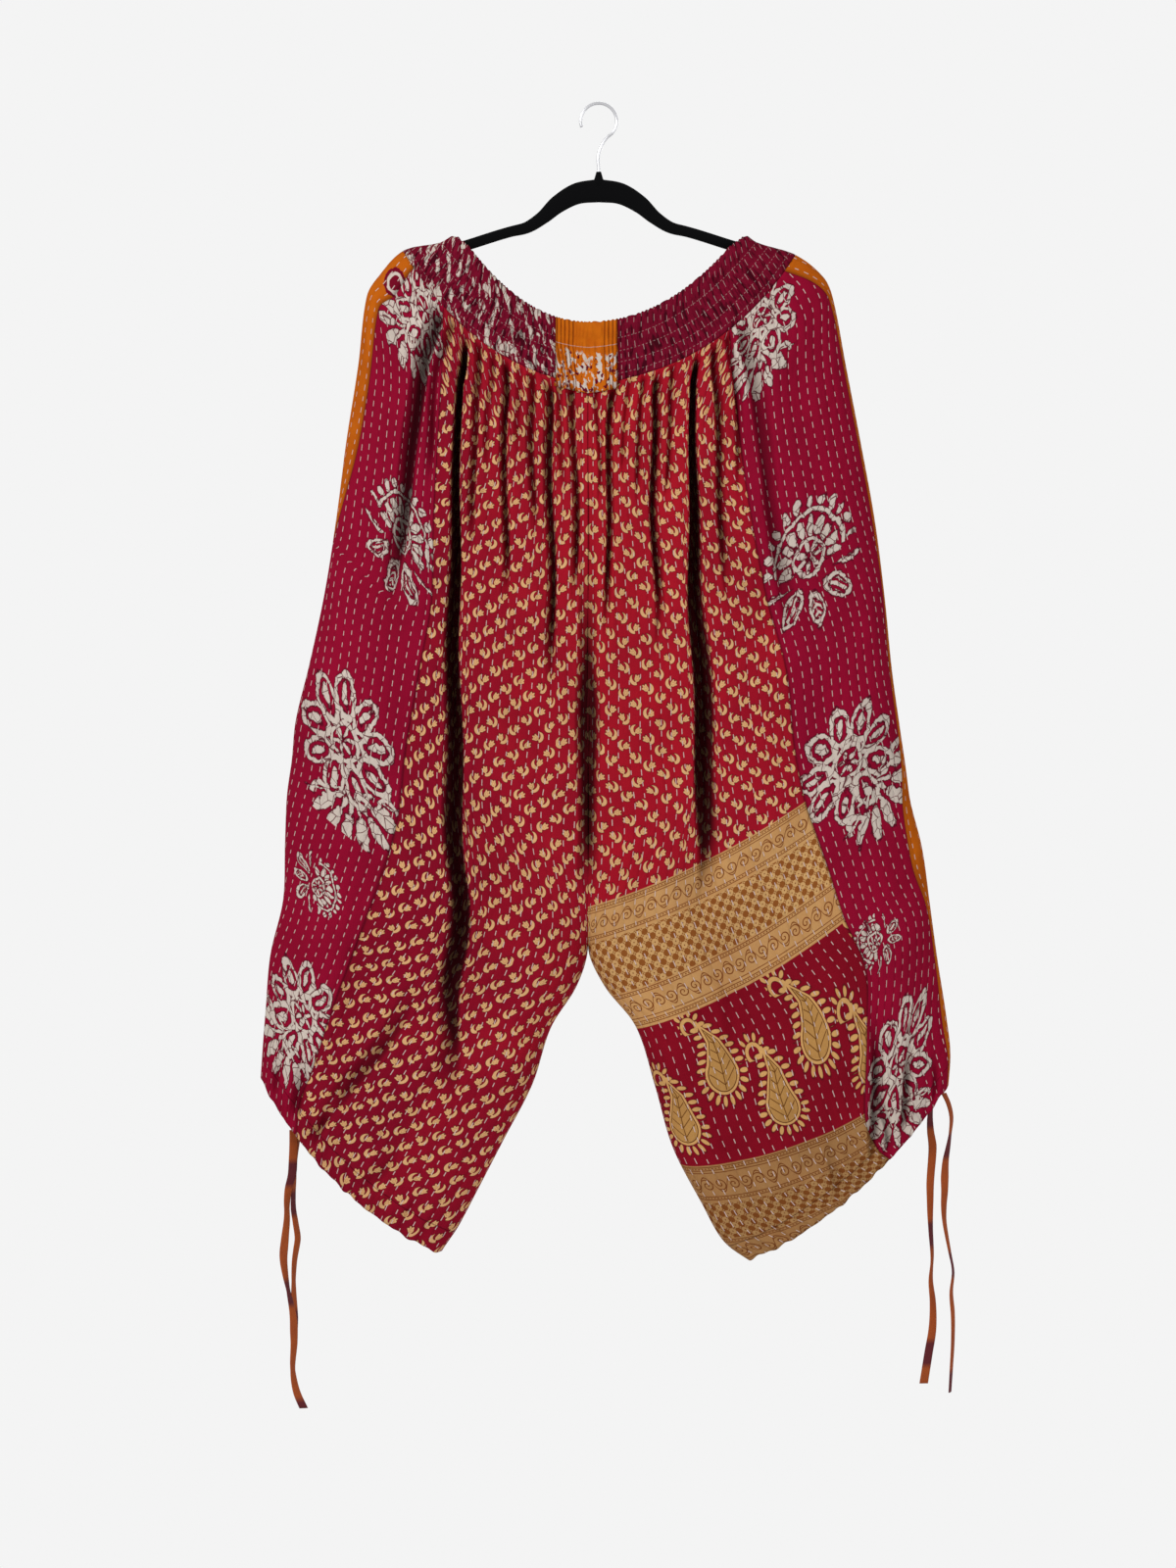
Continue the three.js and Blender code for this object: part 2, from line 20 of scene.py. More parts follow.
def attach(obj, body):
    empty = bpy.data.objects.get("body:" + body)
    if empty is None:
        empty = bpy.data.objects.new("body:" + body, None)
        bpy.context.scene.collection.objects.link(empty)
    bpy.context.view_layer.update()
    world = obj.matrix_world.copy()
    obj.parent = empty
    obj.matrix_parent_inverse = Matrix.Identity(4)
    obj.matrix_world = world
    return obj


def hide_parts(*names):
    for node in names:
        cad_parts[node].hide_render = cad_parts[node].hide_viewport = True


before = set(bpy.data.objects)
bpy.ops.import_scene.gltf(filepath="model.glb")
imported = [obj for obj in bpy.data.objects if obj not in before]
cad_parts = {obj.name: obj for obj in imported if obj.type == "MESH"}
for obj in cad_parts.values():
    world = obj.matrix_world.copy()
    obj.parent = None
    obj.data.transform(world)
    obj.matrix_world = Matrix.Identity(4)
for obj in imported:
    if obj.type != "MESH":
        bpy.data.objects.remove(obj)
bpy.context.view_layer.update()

MM = 0.001
WALL = 1.5 * MM
BAND_WALL = 2.2 * MM
SEAM = 0.3  # between two pieces sewn together
BAND_DEEP = 62.0
GRAIN_END = 960.0  # the hem, measured down the cloth from the waist
CROTCH = 622.0
CASING = 936.0  # top of the cuff's drawstring casing
STITCH_ROW = 11.4  # between two rows of running stitch
STITCH_PITCH = 11.5
STITCH_LONG = 5.2

# %% [markdown]
# ## Camera, light and floor
# The garment is seen square on from the front, so the camera stands level with its middle, far enough
# away for a long lens. The light is soft and comes mostly from the front, a little more from above and
# from the left, so that the troughs between the folds stay dark. The world looks pale to the camera and
# to gloss, and lights the cloth less than it looks.

# %% Camera, light and floor
camera_data = bpy.data.cameras.new("camera")
camera_data.lens = 85
camera_data.sensor_width = 36
camera = bpy.data.objects.new("camera", camera_data)
camera.location = (-0.011, -3.80, -0.697)
camera.rotation_euler = (math.radians(90), 0, 0)
bpy.context.scene.collection.objects.link(camera)
bpy.context.scene.camera = camera
bpy.context.scene.view_settings.view_transform = "Standard"


def linear(hex_colour):
    """A colour as painters write it, turned into the amounts of light that a shader uses."""
    parts = [int(hex_colour[i : i + 2], 16) / 255 for i in (1, 3, 5)]
    return tuple(p / 12.92 if p <= 0.04045 else ((p + 0.055) / 1.055) ** 2.4 for p in parts) + (1.0,)


def area_light(name, place, aim, size, power):
    data = bpy.data.lights.new(name, "AREA")
    data.shape = "RECTANGLE"
    data.size, data.size_y = size
    data.energy = power
    lamp = bpy.data.objects.new(name, data)
    lamp.location = place
    way = np.subtract(aim, place)
    flat = math.hypot(way[0], way[1])
    lamp.rotation_euler = (math.atan2(flat, -way[2]), 0, math.atan2(way[1], way[0]) - math.pi / 2)
    bpy.context.scene.collection.objects.link(lamp)


area_light("key", (-1.7, -2.2, 0.9), (0, 0, -0.6), (1.1, 1.1), 46)
area_light("fill", (2.2, -2.4, -0.2), (0, 0, -0.7), (1.6, 1.6), 15)
area_light("back", (0.3, 2.6, 0.6), (0, 0, -0.7), (2.0, 2.0), 30)

world = bpy.data.worlds.new("studio")
world.use_nodes = True
bpy.context.scene.world = world
nodes, links = world.node_tree.nodes, world.node_tree.links
nodes.clear()
path = nodes.new("ShaderNodeLightPath")
seen = nodes.new("ShaderNodeBackground")
seen.inputs["Color"].default_value = linear("#F4F4F4")
lit = nodes.new("ShaderNodeBackground")
lit.inputs["Color"].default_value = (0.95, 0.97, 1.0, 1)
lit.inputs["Strength"].default_value = 0.42
unlit = path.outputs["Is Camera Ray"]
for kind in ("Is Glossy Ray", "Is Transmission Ray"):
    either = nodes.new("ShaderNodeMath")
    either.operation = "MAXIMUM"
    links.new(unlit, either.inputs[0])
    links.new(path.outputs[kind], either.inputs[1])
    unlit = either.outputs[0]
blend = nodes.new("ShaderNodeMixShader")
out = nodes.new("ShaderNodeOutputWorld")
links.new(unlit, blend.inputs[0])
links.new(lit.outputs[0], blend.inputs[1])
links.new(seen.outputs[0], blend.inputs[2])
links.new(blend.outputs[0], out.inputs[0])

# %% [markdown]
# ## Shader arithmetic
# A block print is a drawing that repeats over the cloth. It could be a painted image, but a drawing
# worked out from the cloth's own coordinates stays sharp at any size. Value wraps one socket, so that the
# drawing can be written as ordinary expressions, and Kit makes the nodes.

# %% Shader arithmetic


class Value:
    def __init__(self, kit, socket):
        self.kit = kit
        self.socket = socket

    def __add__(self, other):
        return self.kit.math("ADD", self, other)

    def __sub__(self, other):
        return self.kit.math("SUBTRACT", self, other)

    def __rsub__(self, other):
        return self.kit.math("SUBTRACT", other, self)

    def __mul__(self, other):
        return self.kit.math("MULTIPLY", self, other)

    def __truediv__(self, other):
        return self.kit.math("DIVIDE", self, other)

    def clamped(self):
        made = self.kit.node("ShaderNodeClamp", (), {0: self})
        return Value(self.kit, made.outputs[0])

    __radd__ = __add__
    __rmul__ = __mul__


class Kit:
    """Makes one material and the nodes of its drawing. Positions are in millimetres on the cloth."""

    def __init__(self, name):
        self.material = bpy.data.materials.new(name)
        self.material.use_nodes = True
        self.tree = self.material.node_tree
        self.tree.nodes.clear()
        self.shader = self.tree.nodes.new("ShaderNodeBsdfPrincipled")
        output = self.tree.nodes.new("ShaderNodeOutputMaterial")
        self.tree.links.new(self.shader.outputs[0], output.inputs[0])

    def plug(self, socket, value):
        if isinstance(value, Value):
            self.tree.links.new(value.socket, socket)
        elif value is not None:
            socket.default_value = value

    def node(self, kind, settings=(), inputs=()):
        made = self.tree.nodes.new(kind)
        for name, value in dict(settings).items():
            setattr(made, name, value)
        for key, value in dict(inputs).items():
            self.plug(made.inputs[key], value)
        return made

    def math(self, operation, first, second=None, third=None):
        inputs = {i: v for i, v in enumerate((first, second, third)) if v is not None}
        return Value(self, self.node("ShaderNodeMath", {"operation": operation}, inputs).outputs[0])

    def mix(self, below, above, share):
        """One colour laid over another, where share is 1."""
        settings = {"data_type": "RGBA"}
        return Value(self, self.node("ShaderNodeMix", settings, {0: share, 6: below, 7: above}).outputs[2])

    def cloth(self):
        """Across and down the cloth, in millimetres."""
        uv = self.node("ShaderNodeUVMap", {"uv_map": "cloth"})
        parts = self.node("ShaderNodeSeparateXYZ", (), {0: Value(self, uv.outputs[0])})
        return Value(self, parts.outputs[0]) * 1000.0, Value(self, parts.outputs[1]) * 1000.0

    def attribute(self, name):
        return Value(self, self.node("ShaderNodeAttribute", {"attribute_name": name}).outputs["Fac"])

    def point(self, x, y, z=0.0):
        return Value(self, self.node("ShaderNodeCombineXYZ", (), {0: x, 1: y, 2: z}).outputs[0])

    def noise(self, x, y, size, detail=2.0, z=0.0):
        spot = self.point(x / size, y / size, z)
        made = self.node("ShaderNodeTexNoise", (), {"Vector": spot, "Scale": 1.0, "Detail": detail})
        return Value(self, made.outputs[0])

    def crackle(self, x, y, size):
        settings = {"feature": "DISTANCE_TO_EDGE"}
        spot = self.point(x / size, y / size)
        made = self.node("ShaderNodeTexVoronoi", settings, {"Vector": spot, "Scale": 1.0})
        return Value(self, made.outputs["Distance"]) * size

    def inside(self, distance, soft=0.5):
        """1 where a signed distance is negative, with a soft edge."""
        return self.math("MULTIPLY_ADD", distance, -1.0 / soft, 0.5).clamped()

    def least(self, *values):
        found = values[0]
        for value in values[1:]:
            found = self.math("MINIMUM", found, value)
        return found

    def most(self, *values):
        found = values[0]
        for value in values[1:]:
            found = self.math("MAXIMUM", found, value)
        return found

    def size(self, x, y):
        return self.math("SQRT", x * x + y * y)

    def disc(self, x, y, at, radius):
        return self.size(x - at[0], y - at[1]) - radius

    def oval(self, x, y, at, half, turn=0.0):
        """Nearly the distance to an oval with those half axes, turned anticlockwise by turn degrees."""
        c, s = math.cos(math.radians(turn)), math.sin(math.radians(turn))
        dx, dy = x - at[0], y - at[1]
        along = (dx * c + dy * s) / half[0]
        aside = (dy * c - dx * s) / half[1]
        return (self.size(along, aside) - 1.0) * min(half)

    def stroke(self, x, y, start, end, half):
        """Distance to a straight stroke with round ends."""
        way = (end[0] - start[0], end[1] - start[1])
        reach = way[0] ** 2 + way[1] ** 2
        dx, dy = x - start[0], y - start[1]
        along = ((dx * way[0] + dy * way[1]) / reach).clamped()
        return self.size(dx - along * way[0], dy - along * way[1]) - half

    def hash(self, number, seed=0.0):
        return self.math("FRACT", self.math("SINE", number * 12.9898 + seed) * 43758.5453)

    def cell(self, value, pitch):
        """Which cell of that pitch a place is in, and how far it lies from the cell's middle."""
        number = self.math("ROUND", value / pitch)
        return number, value - number * pitch


# %% [markdown]
# ## Running stitch and the feel of the cloth
# Rows of running stitch go straight down every panel, about 11 mm apart, through all the layers. Modelled
# threads would be tens of thousands of pieces, so thread is a mask in the shader. Between two rows the
# layers puff up a little. Each row starts at its own place and each stitch has its own length, because it
# is sewn by hand. The bottoms of the troughs and the side edges of each panel are darkened with painted
# shade, which the mesh carries as its own attribute.

# %% Running stitch and the feel of the cloth


def outlined(kit, distance, half):
    """A line of that half width along the edge of a shape."""
    return kit.math("ABSOLUTE", distance) - half


def stitches(kit, u, v):
    """Where the running stitches are, and how the layers puff between their rows."""
    row = kit.math("FLOOR", u / STITCH_ROW)
    wander = kit.math("SINE", v / 41.0 + row * 2.3) * 0.45
    off = u - (row + 0.5) * STITCH_ROW - wander
    step = v / STITCH_PITCH + kit.hash(row) + kit.math("SINE", v / 63.0 + row * 1.7) * 0.25
    number = kit.math("FLOOR", step)
    share = step - number
    length = STITCH_LONG / STITCH_PITCH * (0.8 + 0.45 * kit.hash(number + row * 7.0, 3.1))
    lengthwise = (kit.math("ABSOLUTE", share - 0.5) - length * 0.5) * STITCH_PITCH
    aside = kit.math("ABSOLUTE", off) - 0.44
    thread = kit.inside(kit.most(lengthwise, aside), 0.35)
    puff = kit.math("ABSOLUTE", kit.math("SINE", (u - wander) * (math.pi / STITCH_ROW) + math.pi / 2))
    puff = 1.0 - kit.math("POWER", 1.0 - puff, 2.0)
    return thread, puff


def finish_cloth(kit, colour, u, v, thread, puff, crumple=1.0):
    """Adds thread, painted shade and relief to a printed colour and plugs it into the shader."""
    fade = kit.noise(u, v, 90.0, 3.0)
    colour = kit.mix(colour, linear("#3A0410"), (0.62 - fade) * 0.55)
    colour = kit.mix(colour, linear("#E6CCC4"), thread * 0.92)
    casing = outlined(kit, v - CASING, 0.45)
    colour = kit.mix(colour, linear("#2A0308"), kit.inside(casing, 0.9) * 0.7)
    # Painted shade: the bottoms of the troughs and the panel edges darken towards near black, read from the
    # mesh attribute.
    painted_shade = kit.attribute("painted_shade")
    colour = kit.mix(colour, linear("#1A0407"), (painted_shade * 0.88).clamped())
    kit.plug(kit.shader.inputs["Base Color"], colour)
    kit.shader.inputs["Roughness"].default_value = 0.92
    kit.shader.inputs["Specular IOR Level"].default_value = 0.06
    soft = kit.noise(u * 1.8, v, 26.0, 4.0) * (1.9 * crumple)
    fine = kit.noise(u, v, 3.2, 2.0) * 0.25
    height = soft + fine + puff * 0.75 + thread * 0.45
    bump = kit.node("ShaderNodeBump", (), {"Height": height * MM, "Strength": 1.0, "Distance": 1.0})
    kit.plug(kit.shader.inputs["Normal"], Value(kit, bump.outputs[0]))
    return kit.material


# %% [markdown]
# ## Small gold tulips
# The red cloth is block printed with a rosebud or tulip about 12 mm across: a head with three points, a
# short stem and one curved leaf, with a dark outline. Each is a few ovals and a stroke in one cell of a
# lattice, 13.2 mm across and 25.5 mm down, and every second row faces the other way.

# %% Small gold tulips
TULIP = 1.12  # how much larger the flowers are than the 11 mm of their drawing
RED = linear("#BE1A28")
RED_DEEP = linear("#8A0C26")
GOLD = linear("#E6B27C")
GOLD_DARK = linear("#B98445")
OUTLINE = linear("#64101A")


def tulips(kit, u, v, start, shade_share):
    """Colour of the red floral cloth. Rows of the cloth rise outwards, and the flowers stand level again. The
    red varies at random in tone, and painted shade darkens it by that share towards the side and the cuff."""
    column, x = kit.cell(u + start[0], 13.2)
    row, down = kit.cell(v + start[1] + column * 10.9, 25.5)
    shift = (kit.hash(column * 3.0 + row * 5.0, 1.3) - 0.5) * 2.2
    lean = (kit.hash(column * 7.0 + row * 3.0, 0.4) - 0.5) * 0.7
    facing_way = kit.math("PINGPONG", row, 1.0) * 2.0 - 1.0
    y = (x * 0.42 - down + shift * 1.4) / TULIP
    x = (x + shift) * facing_way / TULIP
    x, y = x + y * lean, y - x * lean
    leaf = kit.most(kit.disc(x, y, (-0.6, 0.2), 5.0), 4.7 - kit.size(x - 1.9, y - 1.8), x - 0.4)
    stem = kit.stroke(x, y, (-2.2, -3.8), (1.2, -1.2), 0.5)
    head = kit.least(
        kit.oval(x, y, (2.2, 0.5), (2.8, 2.5), 45),
        kit.oval(x, y, (1.8, 2.5), (1.9, 0.95), 75),
        kit.oval(x, y, (3.9, 2.1), (1.9, 0.9), 45),
        kit.oval(x, y, (4.3, 0.1), (1.9, 0.95), 12),
    )
    flower = kit.least(leaf, stem, head)
    petal = kit.math("ABSOLUTE", kit.oval(x, y, (2.3, 0.6), (1.5, 1.2), 45)) - 0.2
    # Painted shade: the red darkens towards the side and the cuff by that share, over a random change of
    # tone.
    tone_and_shade = kit.noise(u, v, 60.0) * 0.7 + (u / 260.0 + v / 900.0) * shade_share - 0.1
    colour = kit.mix(RED, RED_DEEP, tone_and_shade.clamped())
    colour = kit.mix(colour, OUTLINE, kit.inside(flower - 0.55, 0.6))
    colour = kit.mix(colour, GOLD, kit.inside(flower, 0.4))
    return kit.mix(colour, GOLD_DARK, kit.inside(petal, 0.4) * 0.7)


# %% [markdown]
# ## Tan borders and paisleys
# Towards the right cuff the same sari turns into its end piece: a tan border with scrolls and a check of
# small flowers, a red field with paisleys in two staggered rows, and the border again down to the hem.
# Each band is worked out from its own depth, so that it can be moved down the leg as a whole.

# %% Tan borders and paisleys
TAN = linear("#C98F57")
TAN_PALE = linear("#D6A76C")
BROWN = linear("#7F4118")
BROWN_SOFT = linear("#955726")
CHECK = 6.4  # side of a square of the check


def petals(kit, x, y, count, radius, half, turn=0.0):
    """Distance to a ring of ovals that point outwards from the middle."""
    angle = kit.cell(kit.math("ARCTAN2", y, x) + turn, 2 * math.pi / count)[1]
    reach = kit.size(x, y)
    return kit.oval(reach * kit.math("COSINE", angle), reach * kit.math("SINE", angle), (radius, 0.0), half)


def line_pair(kit, depth, at, gap=3.4):
    """Two fine lines, that far apart."""
    return kit.least(outlined(kit, depth - at, 0.42), outlined(kit, depth - (at + gap), 0.42))


def dots(kit, across, depth, at):
    """A row of small blocks."""
    x = kit.cell(across, 3.4)[1]
    return kit.most(outlined(kit, x, 0.75), outlined(kit, depth - at, 0.55))


def scrolls(kit, across, depth, at, pitch=27.0):
    """A running scroll: every second curl is turned over."""
    number, x = kit.cell(across, pitch / 2)
    flip = kit.math("PINGPONG", number, 1.0) * 2.0 - 1.0
    y = (depth - at) * flip
    reach = kit.size(x, y + 0.6)
    turn = kit.math("ARCTAN2", y + 0.6, x)
    curl = outlined(kit, kit.cell(reach - turn * (3.9 / (2 * math.pi)) - 1.2, 3.9)[1], 0.55)
    curl = kit.most(curl, reach - 6.6)
    wave = y - kit.math("COSINE", x * (2 * math.pi / pitch)) * 8.0
    band = kit.most(outlined(kit, wave, 0.6), 5.6 - reach)
    return kit.least(curl, band)


def crosses(kit, across, depth):
    """A check of four-lobed flowers, pale and dark in turn: where it is pale, and the dark centres."""
    u, v = across / CHECK, depth / CHECK
    cell_u, x = kit.cell(u, 1.0)
    cell_v, y = kit.cell(v, 1.0)
    odd = kit.math("PINGPONG", cell_u + cell_v, 1.0)
    ax, ay = kit.math("ABSOLUTE", x), kit.math("ABSOLUTE", y)
    lobes = kit.least(kit.size(ax - 0.36, ay), kit.size(ax, ay - 0.36)) - 0.31
    flower = kit.inside(kit.least(lobes, kit.size(x, y) - 0.3), 0.08)
    centre = kit.inside(kit.size(x, y) - 0.1, 0.06) * odd
    return flower * odd + (1.0 - flower) * (1.0 - odd), centre


def border(kit, across, depth, deep):
    """Colour of a tan border that starts at depth 0 and is deep millimetres deep."""
    sets = [2.0, 33.0, deep - 38.0, deep - 6.5]
    drawn = kit.least(*[line_pair(kit, depth, at) for at in sets])
    drawn = kit.least(drawn, *[dots(kit, across, depth, at + 1.7) for at in sets])
    drawn = kit.least(drawn, outlined(kit, depth - 8.0, 0.4), outlined(kit, depth - (deep - 10.0), 0.4))
    drawn = kit.least(drawn, scrolls(kit, across, depth, 20.5), scrolls(kit, across, depth, deep - 22.0))
    colour = kit.mix(TAN, TAN_PALE, kit.noise(across, depth, 25.0))
    pale, centre = crosses(kit, across, depth)
    check = kit.mix(BROWN_SOFT, TAN_PALE, pale)
    check = kit.mix(check, BROWN, centre)
    middle = kit.inside(outlined(kit, depth - deep / 2, deep / 2 - 40.0), 0.6)
    return kit.mix(kit.mix(colour, BROWN, kit.inside(drawn, 0.5)), check, middle)


def paisleys(kit, across, depth):
    """Colour of the red field with paisleys, which stand round end down and lean over at the tip."""
    column, x = kit.cell(across - 30.0, 52.0)
    flip = kit.math("PINGPONG", column, 1.0)
    y = (92.0 - depth - flip * 38.0) / 1.12
    x = x / 1.12
    lift = kit.math("MAXIMUM", y, 0.0)
    lean = x - lift * 0.06 + kit.math("MAXIMUM", y - 26.0, 0.0) * 0.5
    edge = kit.math("ABSOLUTE", lean) - kit.math("MAXIMUM", 15.5 - lift * 0.36, 1.6)
    body = kit.least(kit.disc(x, y, (0.0, 0.0), 15.0), kit.most(edge, y - 44.0, 0.0 - y))
    hook = kit.most(outlined(kit, kit.disc(x, y, (-13.5, 41.0), 6.5), 1.5), 36.0 - y)
    low = kit.most(petals(kit, x, y, 19, 20.0, (3.9, 1.75), 0.08), y - 3.0)
    step = kit.cell(y - 7.0, 6.2)[1]
    high = kit.most(kit.oval(edge, step, (4.6, 0.0), (3.9, 1.7)), 3.5 - y, y - 41.0)
    tip = kit.most(petals(kit, x + 13.5, y - 41.0, 11, 11.8, (3.2, 1.6)), 38.0 - y)
    rim = outlined(kit, body + 2.4, 0.5)
    leaf = kit.cell(y - kit.math("ABSOLUTE", lean) * 0.9, 8.0)[1]
    vein = kit.most(kit.least(outlined(kit, leaf, 0.5), outlined(kit, lean, 0.45)), body + 3.4)
    gold = kit.least(body, hook, low, high, tip)
    colour = kit.mix(linear("#980F25"), linear("#7A0B1C"), kit.noise(across, depth, 50.0))
    colour = kit.mix(colour, OUTLINE, kit.inside(gold - 0.7, 0.6))
    colour = kit.mix(colour, linear("#DDA968"), kit.inside(gold, 0.45))
    colour = kit.mix(colour, linear("#C08E50"), kit.inside(body + 3.2, 0.5))
    return kit.mix(colour, linear("#70441A"), kit.inside(kit.least(rim, vein), 0.45))


# %% [markdown]
# ## Cream batik flowers
# The magenta cloth was wax printed. Flowers about 110 mm across stand in a column down each panel, and
# the wax cracked, so that every cream shape is cut by dark hairlines. Two motifs of rings, petals and
# scrolls are drawn as distances, then bent by slow noise, so that no two of them come out the same.

# %% Cream batik flowers
MAGENTA = linear("#A30C34")
MAGENTA_DEEP = linear("#880A28")
CREAM = linear("#DCCDBF")


def curl(kit, x, y, at, radius, side):
    """A C scroll that ends in a dot, open below. side is 1 or -1."""
    dx, dy = (x - at[0]) * side, y - at[1]
    ring = outlined(kit, kit.size(dx, dy) - radius, 2.1)
    ring = kit.most(ring, 0.0 - dy - radius * 0.3 - dx * 0.4)
    return kit.least(ring, kit.disc(dx, dy, (radius * 0.35, -radius * 0.1), 3.4))


def bouquet(kit, x, y):
    """An open flower over a fan of leaves and two scrolls."""
    top = y - 16.0
    ring = outlined(kit, petals(kit, x, top, 9, 36.0, (17.0, 10.0), 0.35), 1.7)
    hearts = petals(kit, x, top, 9, 37.0, (8.5, 3.2), 0.35)
    wheel = outlined(kit, kit.size(x, top) - 15.0, 1.9)
    spokes = petals(kit, x, top, 6, 7.5, (4.6, 1.7))
    fan = kit.most(petals(kit, x, y + 20.0, 15, 40.0, (15.0, 5.6), 0.1), y + 28.0)
    stalks = kit.most(petals(kit, x, y + 20.0, 15, 16.0, (8.0, 2.0), 0.1), y + 22.0)
    left_curl = curl(kit, x, y, (-38.0, -34.0), 10.0, 1)
    right_curl = curl(kit, x, y, (38.0, -34.0), 10.0, -1)
    return kit.least(ring, hearts, wheel, spokes, fan, stalks, left_curl, right_curl)


def crest(kit, x, y):
    """A spoked wheel under a crown of petals and beads, over three hanging leaves."""
    rim = outlined(kit, kit.size(x, y) - 15.0, 1.8)
    spokes = petals(kit, x, y, 7, 8.5, (5.0, 1.9))
    crown = kit.most(petals(kit, x, y, 16, 26.0, (7.0, 3.9), 0.2), -9.0 - y)
    band = kit.most(outlined(kit, kit.size(x, y) - 37.0, 1.5), -3.0 - y)
    beads = kit.most(petals(kit, x, y, 22, 45.0, (4.6, 3.6)), -1.0 - y)
    low = y + 8.0
    leaf = petals(kit, x, low, 9, 38.0, (17.0, 8.5), math.pi / 2)
    slant = kit.cell(low + kit.math("ABSOLUTE", x), 7.0)[1]
    rib = kit.least(outlined(kit, leaf + 3.2, 0.8), kit.most(leaf + 3.2, slant))
    leaves = kit.most(kit.most(leaf, 0.0 - rib), y + 19.0)
    return kit.least(rim, spokes, crown, band, beads, leaves)


def stepped(kit, v, motifs, index):
    """One column of the motifs' table, which changes halfway between one motif and the next."""
    found = motifs[0][index]
    for before, after in zip(motifs, motifs[1:]):
        past = kit.math("GREATER_THAN", v, (before[1] + after[1]) / 2)
        found = found + past * (after[index] - before[index])
    return found


def batik(kit, u, v, motifs):
    """Colour of the magenta cloth. Each motif is (across, down, turn in radians, size, kind 0 or 1)."""
    warp = (kit.noise(u, v, 26.0, 2.0) - 0.5) * 15.0
    warp_down = (kit.noise(u, v, 24.0, 2.0, 5.0) - 0.5) * 15.0
    at_u, at_v, turn, size, kind = (stepped(kit, v, motifs, i) for i in range(5))
    dx, dy = (u - at_u + warp) / size, (at_v - v + warp_down) / size
    c, s = kit.math("COSINE", turn), kit.math("SINE", turn)
    x, y = dx * c + dy * s, dy * c - dx * s
    shape = kit.least(bouquet(kit, x, y) + kind * 900.0, crest(kit, x, y) + (1.0 - kind) * 900.0)
    ragged = (kit.noise(u, v, 6.0, 2.0) - 0.5) * 4.0
    cracks = kit.crackle(u + warp, v + warp_down, 12.0) - 0.34
    cream = kit.inside(kit.most(shape + ragged, 0.0 - cracks), 0.5)
    edge = kit.inside(shape + ragged - 0.9, 0.7)
    colour = kit.mix(MAGENTA, MAGENTA_DEEP, kit.noise(u, v, 70.0))
    colour = kit.mix(colour, linear("#5C0A20"), edge)
    return kit.mix(colour, CREAM, cream)


LEFT_MOTIFS = [
    (48.0, 96.0, 0.5, 0.85, 0.0),
    (46.0, 318.0, 0.25, 1.05, 1.0),
    (66.0, 575.0, -0.4, 1.15, 0.0),
    (62.0, 716.0, 1.3, 0.6, 1.0),
    (36.0, 862.0, 0.3, 0.95, 0.0),
]
RIGHT_MOTIFS = [
    (46.0, 92.0, -0.4, 0.9, 0.0),
    (60.0, 345.0, -0.15, 1.2, 1.0),
    (62.0, 588.0, 0.5, 1.1, 0.0),
    (20.0, 752.0, 1.0, 0.55, 1.0),
    (52.0, 893.0, -0.3, 0.95, 0.0),
]

# %% [markdown]
# ## The cloths
# Four cottons are sewn together here: the red, the magenta, the orange and the band's. Each function lays
# one of their prints, and finish_cloth gives them all the same quilted feel. The black flock drinks the
# light, so it has no gloss, and the hook is bare bright wire.

# %% The cloths
UPPER_AT, FIELD_AT, LOWER_AT = 580.0, 712.0, 846.0  # where each band of the end piece begins


def red_floral(name, ends):
    """The front cloth. ends says whether the sari's end piece, with its borders, is part of this panel."""
    kit = Kit(name)
    u, v = kit.cloth()
    colour = tulips(kit, u, v, (8.0, 11.0) if ends else (3.0, 0.0), 0.2 if ends else 0.5)
    if ends:
        slope = ((v - FIELD_AT) / 130.0).clamped()
        level = v - slope * (u / 210.0) * 46.0
        upper = border(kit, u, v - UPPER_AT, FIELD_AT - UPPER_AT)
        field = paisleys(kit, u, level - FIELD_AT - 4.0)
        lower = border(kit, u, level - LOWER_AT, 118.0)
        # The whole lower border is darkened with painted shade.
        lower = kit.mix(lower, linear("#5A2E12"), 0.42)
        colour = kit.mix(colour, upper, kit.inside(UPPER_AT - v, 0.6))
        colour = kit.mix(colour, field, kit.inside(FIELD_AT - v, 0.6))
        colour = kit.mix(colour, lower, kit.inside(LOWER_AT - level, 0.6))
    thread, puff = stitches(kit, u, v)
    return finish_cloth(kit, colour, u, v, thread, puff)


def magenta_batik(name, motifs=None):
    """The side cloth with its flowers, or the plain cloth of the back where there are no motifs."""
    kit = Kit(name)
    u, v = kit.cloth()
    if motifs:
        colour = batik(kit, u, v, motifs)
    else:
        colour = kit.mix(MAGENTA, MAGENTA_DEEP, kit.noise(u, v, 70.0))
    thread, puff = stitches(kit, u, v)
    return finish_cloth(kit, colour, u, v, thread, puff)


def orange(name, ringed):
    """The outseam strip. ringed adds the one printed ring at the left shoulder."""
    kit = Kit(name)
    u, v = kit.cloth()
    colour = kit.mix(linear("#D67012"), linear("#B4500C"), kit.noise(u, v, 30.0))
    if ringed:
        round_ = kit.size(u - 7.0, v - 90.0) + (kit.noise(u, v, 6.0) - 0.5) * 5.0
        colour = kit.mix(colour, linear("#7A0A24"), kit.inside(round_ - 14.0, 0.7))
        colour = kit.mix(colour, CREAM, kit.inside(outlined(kit, round_ - 9.0, 1.7), 0.6))
    thread, puff = stitches(kit, u, v)
    return finish_cloth(kit, colour, u, v, thread, puff, crumple=0.6)


SHIRRING = (20.0, 33.0, 44.0, 55.0)  # how far the rows of shirring thread are below the waist


